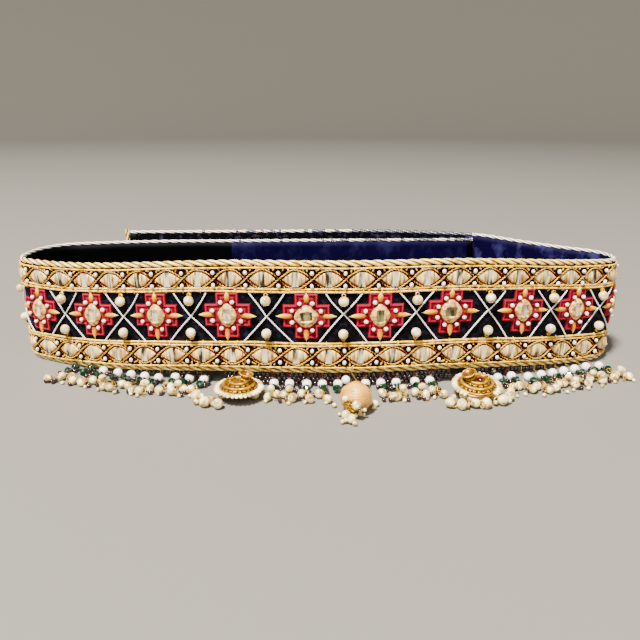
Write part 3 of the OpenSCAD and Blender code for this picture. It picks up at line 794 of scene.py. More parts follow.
WAVE_HIGH = 4.8
wave_s = np.append(np.arange(eyes_first * EYE_PITCH, eyes_last * EYE_PITCH, 1.0), eyes_last * EYE_PITCH)
bend = np.sin(np.pi * wave_s / EYE_PITCH)
hem_bend = np.sign(bend) * np.abs(bend) ** 0.8
waves, hems = [], []
for z in BORDER_Z:
    for side in (1, -1):
        over = FACE_OUT + 0.75 + 0.4 * side * np.cos(np.pi * wave_s / EYE_PITCH) + 0.12 * np.sin(wave_s / 5)
        waves.append(along(wave_s, over, z + side * WAVE_HIGH * bend + 0.15 * np.sin(wave_s * 0.9)))
        hems.append(along(wave_s, FACE_OUT + 0.35, z + side * (WAVE_HIGH - 0.9) * hem_bend))
wave_gold = cords("wave_cords", waves, 0.85, braid_gold, plies=2, lay_length=3.4, step=0.72, sides=6)
# Dark red thread, matt, between the tissue and the gold cord: partly a real hem, partly a dark cord that
# stands for the shade there
hem_red = mottled("dark red thread", "#1c0102", "#5a0804", 300.0, {
    "Roughness": 0.7, "Specular IOR Level": 0.05})
hem = cords("wave_hems", hems, 0.95, hem_red, step=1.2, sides=5)
piece("wave_cords", joined("wave_cords", [wave_gold, hem]), None)

# White seed pearls, imitation, dipped: bright and smooth, with a soft warm shade in their own shadow
pearl_white = mottled("white imitation pearl", "#ead8b8", "#fffaf2", 180.0, {
    "Roughness": 0.22, "Subsurface Weight": 0.12, "Subsurface Radius": (0.8, 0.7, 0.6),
    "Subsurface Scale": 0.001, "Coat Weight": 0.5, "Coat Roughness": 0.08})
SEED_OFF = 3.2
seed_spots = [(k * EYE_PITCH, FACE_OUT + 1.35, z + side * SEED_OFF)
              for z in BORDER_Z for side in (1, -1) for k in range(eyes_first, eyes_last + 1)]
seed_mesh = sewn("border_seeds", ball(1.9, 10, 7, tall=2.3), seed_spots, pearl_white, turn=0.25, size=0.1,
                 seed=6)
piece("border_seeds", seed_mesh, None)

# Short coils of gold wire, scattered in the corners between the waves and the lines: a coil's radius, its
# length, and its four turns in radians
COIL_R, COIL_LONG, COIL_TURNS = 0.32, 1.9, 25.2
# where a coil lies: its share of the way from one crossing to the next, and above or below
COIL_CORNERS = ((0.16, 1), (0.84, 1), (0.16, -1), (0.84, -1), (0.3, 1), (0.7, -1), (0.7, 1), (0.3, -1))
rng = np.random.default_rng(5)
coil_spots = []
for z in BORDER_Z:
    for k in range(eyes_first, eyes_last):
        for share, side in COIL_CORNERS:
            # midway between the wave and the gold lines
            free = (WAVE_HIGH * math.sin(math.pi * share) + 0.9 + 6.0) / 2
            coil_spots.append(((k + share + rng.uniform(-0.03, 0.03)) * EYE_PITCH, FACE_OUT + 0.45,
                               z + side * min(free, 5.6) + rng.uniform(-0.3, 0.3)))
coil_line = [np.array([(math.cos(a) * COIL_R, math.sin(a) * COIL_R, COIL_LONG * (a / COIL_TURNS - 0.5))
                       for a in np.linspace(0, COIL_TURNS, 33)]) * MM]
coil_shape = cords("coil", coil_line, 0.36, braid_gold, step=0.5, sides=4)
coil_mesh = sewn("gold_coils", coil_shape, coil_spots, braid_gold, turn=1.2, size=0.15, seed=9)
piece("gold_coils", coil_mesh, None)

# THE CROSSES
# Four-armed crosses padded and worked in red silk: satin stitches run out to a raised outline, pink-red
# partly as a painted highlight, a second outline steps round inside it, and an orange petal lies along each
# arm.
MOTIF_PITCH = 38.5
MOTIF_START = -21.0
MOTIF_FIRST, MOTIF_COUNT = -6, 19
# sewn by hand: how far each of the first crosses sits from its regular place; the rest are off as the last is
MOTIF_SHIFT = (3, 3, 3, 2, 1.5, 1, 2, 0, -2.5, -0.5, -5, -10)
MOTIF_Z = 31.2
# and from the middle of the front on they sit this much higher
RISE = 1.1
shifts = MOTIF_SHIFT + MOTIF_SHIFT[-1:] * (MOTIF_COUNT - len(MOTIF_SHIFT))
motif_s = np.array([MOTIF_START + MOTIF_PITCH * (MOTIF_FIRST + i) + shift for i, shift in enumerate(shifts)])
motif_z = MOTIF_Z + RISE * ease((motif_s - 10) / 50)
ARM_LONG, ARM_HALF = 12.0, 6.1
CELL = 0.45


def ramped(tree, share, colours):
    """A colour from a ramp of (share, hex code), first and last at 0 and 1."""
    ramp = add(tree, "ShaderNodeValToRGB", {0: share})
    (_, first), *middle, (_, last) = colours
    ramp.color_ramp.elements[0].color, ramp.color_ramp.elements[1].color = srgb(first), srgb(last)
    for at, code in middle:
        ramp.color_ramp.elements.new(at).color = srgb(code)
    return ramp.outputs[0]


# Red silk floss in satin stitch: a soft gloss that runs with the stitches, with painted shade where the
# outlines meet the ground and between them, and pink-red on the raised outlines, partly the silk and partly a
# painted highlight. The stitches are drawn coarser than silk, about 1 mm apart, to show.
silk_red, tree = material("red embroidery silk")
inset = add(tree, "ShaderNodeAttribute", attribute_name="inset").outputs["Fac"]
where = add(tree, "ShaderNodeUVMap", uv_map="laid").outputs[0]
pink = ramped(tree, inset, (
    (0, "#2a0004"), (0.08, "#6c0014"), (0.2, "#b40030"), (0.3, "#740016"), (0.38, "#420008"),
    (0.5, "#680012"), (0.6, "#a00024"), (0.7, "#700014"), (1, "#8c001c")))
stitch = add(tree, "ShaderNodeTexWave", {
    "Vector": where, "Scale": 0.75, "Distortion": 0.8}, bands_direction="DIAGONAL")
uneven = add(tree, "ShaderNodeTexNoise", {"Vector": where, "Scale": 1.6, "Detail": 3.0})
shade = add(tree, "ShaderNodeMapRange", {0: uneven.outputs[0], 1: 0.3, 2: 0.7, 3: 0.72, 4: 1.1})
red = add(tree, "ShaderNodeVectorMath", {0: pink, "Scale": shade.outputs[0]}, operation="SCALE")
bump = add(tree, "ShaderNodeBump", {"Height": stitch.outputs[1], "Strength": 0.45, "Distance": 0.0003})
painted(tree, {
    "Base Color": red.outputs[0], "Roughness": 0.5, "Normal": bump.outputs[0], "Specular IOR Level": 0.1})


def inside_cross(a, b):
    """How deep a place lies inside the cross's outline, with square corners, or less than 0 outside it."""
    a, b = np.maximum(abs(a), abs(b)), np.minimum(abs(a), abs(b))
    arm = np.minimum(ARM_LONG - a, ARM_HALF - b)
    middle = np.maximum(ARM_HALF - a, ARM_HALF - b)
    return np.where(a > ARM_HALF, arm, np.minimum(middle, ARM_LONG - a))


ticks = np.arange(-ARM_LONG, ARM_LONG + 0.01, 2 * ARM_LONG / round(2 * ARM_LONG / CELL))
gx, gz = np.meshgrid(ticks, ticks, indexing="ij")
depth = inside_cross(gx, gz)
# two raised outlines, 1 and 3.1 mm in from the edge, on a padding that rises towards the middle
height = 0.55 + 0.5 * np.exp(-((depth - 1.0) / 0.5) ** 2) + 0.28 * np.exp(-((depth - 3.1) / 0.5) ** 2)
height = np.where(depth > 0.05, height, 0.12) + 0.25 * ease(depth / 5)
height += 0.05 * np.sin((gx + gz) * 5.2) * (depth > 0.3)
cross_builder = bmesh.new()
inset_of = cross_builder.verts.layers.float.new("inset")
corner_of = {}
for i in range(len(ticks) - 1):
    for j in range(len(ticks) - 1):
        if inside_cross((ticks[i] + ticks[i + 1]) / 2, (ticks[j] + ticks[j + 1]) / 2) <= 0:
            continue
        loop = []
        for a, b in ((i, j), (i, j + 1), (i + 1, j + 1), (i + 1, j)):
            if (a, b) not in corner_of:
                v = cross_builder.verts.new((gx[a, b] * MM, height[a, b] * MM, gz[a, b] * MM))
                v[inset_of] = max(depth[a, b], 0) / 5
                corner_of[a, b] = v
            loop.append(corner_of[a, b])
        cross_builder.faces.new(loop)
border = [edge for edge in cross_builder.edges if len(edge.link_faces) == 1]
skirt = bmesh.ops.extrude_edge_only(cross_builder, edges=border)
for v in (g for g in skirt["geom"] if isinstance(g, bmesh.types.BMVert)):
    v.co.y = 0
bmesh.ops.recalc_face_normals(cross_builder, faces=cross_builder.faces)
cross_shape = bpy.data.meshes.new("cross")
cross_builder.to_mesh(cross_shape)
cross_builder.free()
cross_shape.shade_smooth()
motif_spots = [(s * MM, (FACE_OUT + 0.15) * MM, z * MM) for s, z in zip(motif_s, motif_z)]
cross_mesh = laid(sow("red_crosses", cross_shape, motif_spots, silk_red, turn=0.02, size=0.01, seed=4))
piece("red_crosses", cross_mesh, None, [f"cross_{i + 1}" for i in range(MOTIF_COUNT)])

# Orange silk petals: satin stitches from end to end, cream at the tip and burnt orange at the knot
silk_orange, tree = material("orange embroidery silk")
from_knot = add(tree, "ShaderNodeAttribute", attribute_name="inset").outputs["Fac"]
where = add(tree, "ShaderNodeUVMap", uv_map="laid").outputs[0]
tips = ramped(tree, from_knot, ((0, "#8c3c00"), (0.3, "#c87400"), (0.65, "#e09c08"), (1, "#ffe070")))
strands = add(tree, "ShaderNodeTexNoise", {"Vector": where, "Scale": 2.2, "Detail": 3.0})
bump = add(tree, "ShaderNodeBump", {"Height": strands.outputs[0], "Strength": 0.5, "Distance": 0.0003})
painted(tree, {"Base Color": tips, "Roughness": 0.5, "Normal": bump.outputs[0], "Specular IOR Level": 0.15})
PETAL_ROWS, PETAL_RING = 12, 8


def petal(reach, half):
    """A petal that lies along +X from 0, with a knot at its inner end: points and shares of its length."""
    points, shares = [], []
    for i in range(PETAL_ROWS):
        u = i / (PETAL_ROWS - 1)
        knot = 0.35 * math.exp(-((u - 0.08) / 0.07) ** 2)
        wide = half * (math.sin(math.pi * min(u * 1.02 + 0.06, 1)) ** 0.75 + knot) + 0.08
        tall = 0.95 * math.sin(math.pi * min(u * 0.94 + 0.05, 1)) ** 0.5 + 0.15
        for k in range(PETAL_RING):
            a = math.tau * k / PETAL_RING
            points.append((u * reach, max(math.sin(a), 0) * tall, math.cos(a) * wide))
            shares.append(u)
    return points, shares


# columns: which way a petal points, how far out it starts, its length and half its width
PETALS = ((0, 6.8, 8.4, 1.3), (180, 6.8, 8.4, 1.3), (90, 7.0, 5.4, 1.4), (270, 7.0, 6.4, 1.4))
petal_points, petal_faces, petal_shares = [], [], []
for degrees, start, reach, half in PETALS:
    points, shares = petal(reach, half)
    c, s = round(math.cos(math.radians(degrees))), round(math.sin(math.radians(degrees)))
    first = len(petal_points)
    petal_points += [((x + start) * c - z * s, y + 0.75, (x + start) * s + z * c) for x, y, z in points]
    petal_faces += [tuple(i + first for i in face) for face in ring_faces(PETAL_ROWS, PETAL_RING)]
    petal_shares += shares
petal_shape = mesh_of("petals", petal_points, petal_faces)
petal_shape.attributes.new("inset", "FLOAT", "POINT").data.foreach_set("value", petal_shares)
outward(petal_shape)
petal_mesh = laid(sow("orange_petals", petal_shape, motif_spots, silk_orange, turn=0.03, size=0.03, seed=12))
piece("orange_petals", petal_mesh, None)

# THE CENTRE MIRRORS
# In the middle of each cross a small square of mirror glass lies under a pointed patch of gold tissue,
# whose window is folded under at its four edges. Eight seed pearls stand round it.
PATCH_TALL = 6.1
# half width and half height of the window, and half width of the patch: an upright window and a level one
WINDOWS = ((1.8, 3.0, 5.1), (2.75, 2.3, 5.9))
# the crosses that have the level window
LEVEL = (6, 8, 12, 15)


def patch(window_x, window_z, half_x):
    """The tissue patch: rings from the window's raised fold out to the pointed edge."""
    ring, rows = 48, 7
    last = (rows - 1) * ring
    points = []
    for i in range(rows):
        u = i / (rows - 1)
        for k in range(ring):
            a = math.tau * k / ring
            c, s = math.cos(a), math.sin(a)
            square = min(window_x / max(abs(c), 1e-6), window_z / max(abs(s), 1e-6))
            edge = 1 / ((abs(c) / half_x) ** 1.5 + (abs(s) / PATCH_TALL) ** 1.5) ** (1 / 1.5)
            r = square + (edge - square) * u
            fold = 1.25 * (1 - u ** 2.2) + 0.25 * math.exp(-((u - 0.14) / 0.12) ** 2)
            crumple = 0.09 * math.sin(5 * a + 3 * u) + 0.06 * math.sin(11 * a)
            high = 0.75 if i == 0 else (fold + crumple * (u < 0.95)) * (i < rows - 1)
            points.append((r * c, 0.25 + high, r * s))
    faces = side_faces(rows, ring)
    under = [(x, 0.0, z) for x, _, z in points[:ring] + points[-ring:]]
    base = len(points)
    for j in range(ring):
        m = (j + 1) % ring
        faces += [(j, m, base + m, base + j), (last + j, last + m, base + ring + m, base + ring + j),
                  (base + j, base + m, base + ring + m, base + ring + j)]
    return outward(mesh_of("patch", points + under, faces))


# The same gold tissue in a deeper beige, crumpled where it is folded under, with painted shade in the
# crumples' hollows
patch_tissue = mottled("crumpled gold tissue", "#8c5c2c", "#f4c468", 0.5, {
    "Metallic": 0.12, "Roughness": 0.42}, span=(0.38, 0.62), detail=3.0, bump=(0.35, 0.5), squeeze=1.0,
    distortion=0.4)
# Old mirror glass in the shade of the folds: olive-brown painted shade at the front, and a paler painted
# reflection where it faces the bright room at the sides
centre_glass, tree = material("shaded mirror glass")
where = add(tree, "ShaderNodeUVMap", uv_map="laid").outputs[0]
upright = add(tree, "ShaderNodeMapping", {"Vector": where, "Scale": (1.0, 0.3, 1.0)})
painted_reflection_noise = add(tree, "ShaderNodeTexNoise", {"Vector": upright.outputs[0], "Scale": 0.45, "Detail": 2.0})
tone = add(tree, "ShaderNodeMapRange", {0: painted_reflection_noise.outputs[0], 1: 0.36, 2: 0.64}).outputs[0]
axes = add(tree, "ShaderNodeSeparateXYZ", {0: where})
from_front = add(tree, "ShaderNodeMath", {0: axes.outputs[0], 1: 17.0}, operation="SUBTRACT")
aside = add(tree, "ShaderNodeMath", {0: from_front.outputs[0]}, operation="ABSOLUTE")
bright_side_reflection = add(tree, "ShaderNodeMapRange", {0: aside.outputs[0], 1: 60.0, 2: 78.0})
shaded, lit = blend(tree, tone, "#342c10", "#9c9464"), blend(tree, tone, "#a89870", "#fbf2d8")
painted(tree, {
    "Base Color": blend(tree, bright_side_reflection.outputs[0], shaded, lit), "Metallic": 0.5, "Roughness": 0.24})

# the second kind of window lies on the crosses in LEVEL, and the first on the others
patches, squares = [], []
for kind, (window_x, window_z, half_x) in enumerate(WINDOWS):
    own = [(x, (FACE_OUT + 1.15) * MM, z) for i, (x, y, z) in enumerate(motif_spots) if (i in LEVEL) == kind]
    cut = patch(window_x, window_z, half_x)
    patches.append(laid(sow("patch", cut, own, patch_tissue, turn=0.06, size=0.04, seed=20 + kind)))
    glass = plate(window_x * 2 + 0.5, window_z * 2 + 0.5, 0.75)
    squares.append(laid(sow("square", glass, own, centre_glass, turn=0.05, seed=30 + kind)))
piece("centre_patches", joined("centre_patches", patches), None,
      [f"centre_mirror_{i + 1}" for i in range(MOTIF_COUNT)])
piece("centre_glass", joined("centre_glass", squares), None)

around = [(side * x, up * z) for x, z in ((7.2, 2.9), (3.1, 6.9)) for side in (1, -1) for up in (1, -1)]
cross_seed_spots = [(s + x + rng.uniform(-0.25, 0.25), FACE_OUT + 1.9, high + z + rng.uniform(-0.25, 0.25))
                    for s, high in zip(motif_s, motif_z) for x, z in around]
cross_seed_mesh = sewn("cross_seeds", ball(2.1, 12, 8), cross_seed_spots, pearl_white, turn=0.3, size=0.12,
                       seed=14)
piece("cross_seeds", cross_seed_mesh, None)

# THE SILVER CORDS AND FIELD PEARLS
# Silver-white cords cross between the crosses and frame each one. Above and below every crossing a
# round pearl hangs in a small loop of gold wire from the couched line.
# Silver-wound cord, worn: white on top, with a soft gloss, and brown painted shade between its two plies
silver = metallic_thread("silver wound cord", "#ffffff", "#f4eee6", "#7c6054", 0.6, metal=0.0, roughness=0.35)
SILVER = 0.88
# columns: how far aside a leg ends, at what height, and how far its start is raised
LEGS = ((9.0, LINE_HIGH - 1.2, 0.35), (12.1, LINE_LOW + 1.2, 0.0))
crossings = (motif_s[1:] + motif_s[:-1]) / 2
# the cords cross a little higher from the middle of the front on
crossing_high = 30.6 + 1.9 * ease((crossings + 45) / 50)
share = np.linspace(0, 1, 14)
rng = np.random.default_rng(17)
legs = []
for s, high in zip(crossings, crossing_high):
    for side in (1, -1):
        for reach, z, raised in LEGS:
            bow = rng.uniform(-0.3, 0.9) * np.sin(np.pi * share)
            aside = side * (reach + rng.uniform(-0.9, 0.9)) * share + side * bow
            legs.append(along(s + aside, FACE_OUT + 0.75 + raised * (1 - share), high + (z - high) * share))
silver_mesh = cords("silver_cords", legs, SILVER, silver, plies=2, lay_length=2.4, step=0.6, sides=6)
piece("silver_cords", silver_mesh, None)

# Cream-white round pearls of glass or plastic with a pearl dip: softly glossy, a little warmer than the seeds
pearl_field = mottled("round dipped pearl", "#b89048", "#fff0b8", 240.0, {
    "Roughness": 0.25, "Coat Weight": 0.5, "Coat Roughness": 0.1, "Subsurface Weight": 0.1,
    "Subsurface Radius": (0.8, 0.7, 0.5), "Subsurface Scale": 0.001},
    span=(0.38, 0.6), detail=4.0, bump=(0.15, 0.3))
FIELD_PEARL = 5.0
FIELD_OFF = 8.5
PEARL_Z = MOTIF_Z - 0.4
pearl_spots = [(s, FACE_OUT + 0.1 + FIELD_PEARL / 2, PEARL_Z + side * FIELD_OFF)
               for s in crossings for side in (1, -1)]
pearl_mesh = sewn("hanging_pearls", ball(FIELD_PEARL, 24, 16), pearl_spots, pearl_field, turn=0.5, size=0.03,
                  seed=15)
piece("hanging_pearls", pearl_mesh, None, ["field_pearls"])

# Gilt brass wire, bright on top
gilt = metallic_thread("gilt wire", "#e8b020", "#8c5808", "#381400", 0.5, metal=0.5, roughness=0.25)


def eyelet(centre, first, second, count=12):
    """A closed loop of wire round a centre, through its two half axes."""
    return [centre + first * math.cos(q) + second * math.sin(q) for q in np.linspace(0, math.tau, count + 1)]


LOOP_R = 1.0
loops = []
for s in crossings:
    for side in (1, -1):
        top = PEARL_Z + side * (FIELD_OFF + FIELD_PEARL / 2 + 0.3)
        for tilt in (-0.5, 0.5):
            sideways = np.array([math.cos(tilt), math.sin(tilt), 0]) * LOOP_R
            loops.append(lay(eyelet(np.array([s, FACE_OUT + 1.6, top]), np.array([0, 0, LOOP_R]), sideways)))
piece("pearl_loops", cords("pearl_loops", loops, 0.55, gilt, step=0.6, sides=6), None)

# THE FRINGE
# Strings of beads sewn under the lower rope: a garnet bead, a white pearl, a faceted green bead and a
# cluster of uneven cream pearls with loops of gold wire. They lie on the surface and carry the front edge.
STRINGS = (-147, -138, -130, -121, -113, -105, -97, -89, -81, -73, -36, -28, -19, -11, -3,
           11, 19, 27, 37, 45, 81, 89, 97, 105, 112, 119, 126, 134, 141)
# the large bead hangs here, and the strings this near to it end with their green beads
BALL_S = 3.5
BALL_ROOM = 12
STRING_Z = 2.4
BEAD_STEP = 6.0
HIGH_EDGE = 5.0


def elbow_out(s):
    """How far out from the belt a string meets the surface."""
    return -1.2 if lift(s) > HIGH_EDGE else 2.0


def on_string(s, ahead, z=STRING_Z, aside=0.0):
    """A place on a string, at a distance from where it meets the surface, in metres, and its heading."""
    h = place(s)[2]
    a = h + math.radians(3 * math.sin(math.radians(47 * s)))
    base = lay((s, elbow_out(s), 0))
    return np.array([base[0] + (ahead * math.sin(a) + aside * math.cos(a)) * MM,
                     base[1] - (ahead * math.cos(a) - aside * math.sin(a)) * MM, z * MM]), float(a)


def first_bead(s):
    """How far out a string's white pearl lies: the strings at the sides lie further out."""
    return 2.85 + (6.0 if s > 140 else 4.0 if s > 70 else 1.5 if s < -140 else 0.0)


rng = np.random.default_rng(21)
threads, garnets, whites, green_balls, shade_specks, greens, creams, drops, feet, wires = ([] for _ in range(10))
for s in STRINGS:
    high = lift(s) > HIGH_EDGE
    first = first_bead(s)
    # the two strings at the far left begin with a round green bead in the place of the white pearl
    (whites if s > -135 else green_balls).append(on_string(s, first))
    # a dark bead beyond the white pearl: painted shade
    shade_specks.append(on_string(s, first + 2.5, z=1.9, aside=rng.uniform(-0.9, 0.9)))
    sway = rng.uniform(-1.0, 1.0)
    greens.append(on_string(s, first + BEAD_STEP - 0.4, aside=sway))
    course = [lay((s, elbow_out(s), -0.05 if high else 1.0)), on_string(s, 0)[0], on_string(s, first)[0],
              greens[-1][0]]
    threads.append(course)
    if high:
        garnets.append((lay((s + rng.uniform(-0.5, 0.5), 0.9, -1.7)), rng.uniform(0, 3)))
    if abs(s - BALL_S) < BALL_ROOM:
        continue
    # two cream pearls lie side by side at the end, some with a smaller one on top, and one more in front
    tip = first + BEAD_STEP * 3 - 1.2
    hand = rng.choice((-1, 1))
    for ahead, aside in ((first + BEAD_STEP * 2 + 0.6, -2.3), (tip, 2.1)):
        creams.append(on_string(s, ahead + rng.uniform(-0.7, 0.7), aside=sway + hand * aside))
        course.append(creams[-1][0])
    if rng.uniform() < 0.4:
        drops.append(on_string(s, tip - 3.4, z=5.2 + rng.uniform(0, 0.5),
                               aside=sway + rng.uniform(-1.4, 1.4)))
    feet.append(on_string(s, tip + rng.uniform(0.5, 3.6), z=1.05, aside=sway + rng.uniform(-3.4, 3.4)))
    # small dark garnet beads lie between the pearls: painted shade, put as dark beads in the gaps
    for _ in range(9):
        ahead = rng.uniform(first - 1.5, tip + 2.0)
        shade_specks.append(on_string(s, ahead, z=1.25, aside=sway + rng.uniform(-4.2, 4.2)))
    for ahead, size in ((tip + 0.8, 1.5), (tip - 3.4, 1.3)):
        way = rng.uniform(0, math.pi)
        centre = on_string(s, ahead, z=3.6 + rng.uniform(-0.8, 1.4), aside=sway + rng.uniform(-1.8, 1.8))[0]
        level = np.array([math.cos(way), math.sin(way), rng.uniform(-0.5, 0.5)])
        upright = np.array([-0.3 * math.sin(way), 0.3 * math.cos(way), 1.0])
        wires.append(eyelet(centre, level * size * MM, upright * size * MM))
# a dark net of small garnet beads hangs from the rope behind the pearls, up to three deep where the edge is
# high: painted shade, put as dark beads where the lifted edge casts its shade
NET_PITCH = 2.5
shade_net = []
for start, end in ((-150, -70), (-62, 58), (70, 144)):
    for s in np.arange(start, end, NET_PITCH):
        for row, z in enumerate((-1.5, -4.0, -6.3)):
            if lift(s) + z > 1.5:
                spot = (s + 1.2 * (row % 2) + rng.uniform(-0.3, 0.3), -1.0 + rng.uniform(-0.3, 0.3), z)
                shade_net.append((lay(spot), 0.0))


def bicone(wide, long, sides=8):
    """A faceted bead that lies along its thread, -Y to +Y."""
    # columns: share of the length, share of the width
    rows = ((-0.5, 0.2), (-0.3, 0.36), (0, 0.5), (0.3, 0.36), (0.5, 0.2))
    points = []
    for row, (y, r) in enumerate(rows):
        for k in range(sides):
            a = math.tau * (k + 0.5 * (row % 2)) / sides
            points.append((r * wide * math.cos(a), y * long, r * wide * math.sin(a)))
    return outward(mesh_of("bicone", points, ring_faces(len(rows), sides), smooth=False))


def glass_bead(name, deep, bright, gloss):
    """Cut glass: nearly black in the body, with a coloured glow and sharp highlights on the facets."""
    return mottled(name, deep, bright, 300.0, {
        "Roughness": gloss, "IOR": 1.52, "Coat Weight": 0.6, "Coat Roughness": 0.04}, span=(0.35, 0.65))


green_glass = glass_bead("dark green cut glass", "#010a06", "#022a14", 0.1)
garnet_glass = glass_bead("garnet cut glass", "#060001", "#280206", 0.12)
# Uneven cream pearls, dipped plastic: warm cream, waxy gloss, ridged, with brown painted shade in the hollows
pearl_cream = mottled("uneven cream pearl", "#8c6428", "#ffeea4", 330.0, {
    "Roughness": 0.28, "Coat Weight": 0.4, "Coat Roughness": 0.15, "Subsurface Weight": 0.1,
    "Subsurface Radius": (0.9, 0.7, 0.4), "Subsurface Scale": 0.001},
    span=(0.36, 0.62), detail=5.0, bump=(0.35, 0.4))
# Gold-wound sewing thread, fine and satin, with painted shade between its two plies
thread_gold = metallic_thread("gold bead thread", "#e0b040", "#7c5010", "#241000", 0.4)


def bead_threads(name, lines):
    return cords(name, lines, 0.6, thread_gold, plies=2, lay_length=1.6, step=0.7, sides=5)


piece("string_threads", bead_threads("string_threads", threads), None, ["fringe_threads"])
# columns: name, bead, places, material, slot, node, turn, size, seed
for name, shape, spots, finish, slot, node, turn, size, seed in (
        ("garnet_beads", bicone(3.4, 3.2), garnets, garnet_glass, "green_bead", None, 1.5, 0.1, 41),
        ("garnet_net", ball(2.5, 8, 6), shade_net, garnet_glass, "green_bead", None, 0.5, 0.12, 40),
        ("string_pearls", ball(4.8, 22, 14), whites, pearl_white, "white_pearl", "white_pearls",
         0.3, 0.0, 42),
        ("green_balls", ball(4.8, 10, 7), green_balls, green_glass, "green_bead", None, 0.3, 0.0, 48),
        ("green_bicones", bicone(4.5, 4.2), greens, green_glass, "green_bead", "green_beads",
         0.25, 0.05, 43),
        ("cream_beads", ball(4.2, 16, 11, 4.8), creams, pearl_cream, "cream_pearl", "cream_pearls",
         1.5, 0.08, 44),
        ("cream_drops", ball(3.6, 12, 9, 4.3), drops, pearl_cream, "cream_pearl", None, 1.4, 0.15, 45),
        ("garnet_specks", ball(2.4, 8, 6), shade_specks, garnet_glass, "green_bead", None, 0.0, 0.1, 46),
        ("string_feet", ball(2.0, 10, 7), feet, pearl_cream, "cream_pearl", None, 1.4, 0.15, 47)):
    mesh = sow(name, shape, [p for p, a in spots], finish, [a for p, a in spots], turn=turn, size=size,
               seed=seed)
    piece(name, mesh, None, [node] if node else ())
piece("fringe_wires", cords("fringe_wires", wires, 0.45, gilt, step=0.6, sides=6), None)

# THE BELL DROPS
# Two shallow domes of thick gilt wire wound in rings over a thin wall, open below. Each has a cup on its
# top that has tipped to one side, a collar of long seed pearls sewn round its rim, and cream pearls inside.
# columns: side, place along and out, height of the rim, lean, the cup's place to the right, the cup's tip
BELLS = (("left", -51, 15, 5.0, 0.0, 3.0, 12.0), ("right", 62, 20, 6.1, 8.0, -3.0, -24.0))
# where the cream pearls hang under each rim; the left one is bare in front
HUNG_TURNS = {"left": (-15, 35, 90, 145, 195), "right": (30, 90, 150, 210, 270, 330)}
HUNG_R, HUNG_DOWN = 8.2, 2.5
BELL_R, BELL_HIGH, BELL_WALL = 9.0, 4.2, 0.9
COLLAR_R, COLLAR_COUNT, COLLAR_UP = 10.9, 34, 0.55
# the right bell's collar has lost its seeds in front, this far to each side
COLLAR_GAP = 0.6
CUP_Z, CUP_HIGH = 3.5, 4.4
RING_ANGLES = (8, 36, 62)
FINE_ANGLES = (22, 50)
# columns: how far up the dome a row of grains lies, and how many they are
GRAINS = ((23, 24), (50, 14))
# Gilt brass wire, polished: bright gold on top; the brown between the rings is the wall's painted shade
gilt_dome = metallic_thread("gilt ring wire", "#c49400", "#7c4a00", "#301000", 0.6, metal=0.6, roughness=0.24)
# The dome's own wall, seen between the rings: burnt orange gilt, dull, painted darker than the wire as
# painted shade
gilt_wall = mottled("dull gilt wall", "#4a2402", "#8c5800", 350.0, {"Metallic": 0.5, "Roughness": 0.35})


def turned_shape(profile, sides, finish):
    """A mesh turned round the Z axis from a closed profile of (radius, height)."""
    points = [(r * math.cos(math.tau * k / sides), r * math.sin(math.tau * k / sides), z)
              for k in range(sides) for r, z in profile]
    n = len(profile)
    faces = [(k * n + i, k * n + (i + 1) % n, (k + 1) % sides * n + (i + 1) % n, (k + 1) % sides * n + i)
             for k in range(sides) for i in range(n)]
    mesh = outward(mesh_of("turned", points, faces))
    mesh.materials.append(finish)
    return mesh


def circle_line(r, z, wave=0.0, count=72, waves=0):
    """A level circle, or a wavy one, in metres."""
    angles = np.linspace(0, math.tau, count + 1)
    radii = [r + wave * math.cos(waves * a) for a in angles]
    return np.array([(far * math.cos(a), far * math.sin(a), z) for far, a in zip(radii, angles)]) * MM


def dome_at(angle, over=0.0):
    """The radius and height of the dome's outside at an angle above its rim."""
    return (BELL_R + over) * math.cos(math.radians(angle)), (BELL_HIGH + over) * math.sin(math.radians(angle))


lying_seed = ball(2.0, 10, 7, tall=3.3)
lying_seed.transform(Matrix.Rotation(math.pi / 2, 4, "Y"))
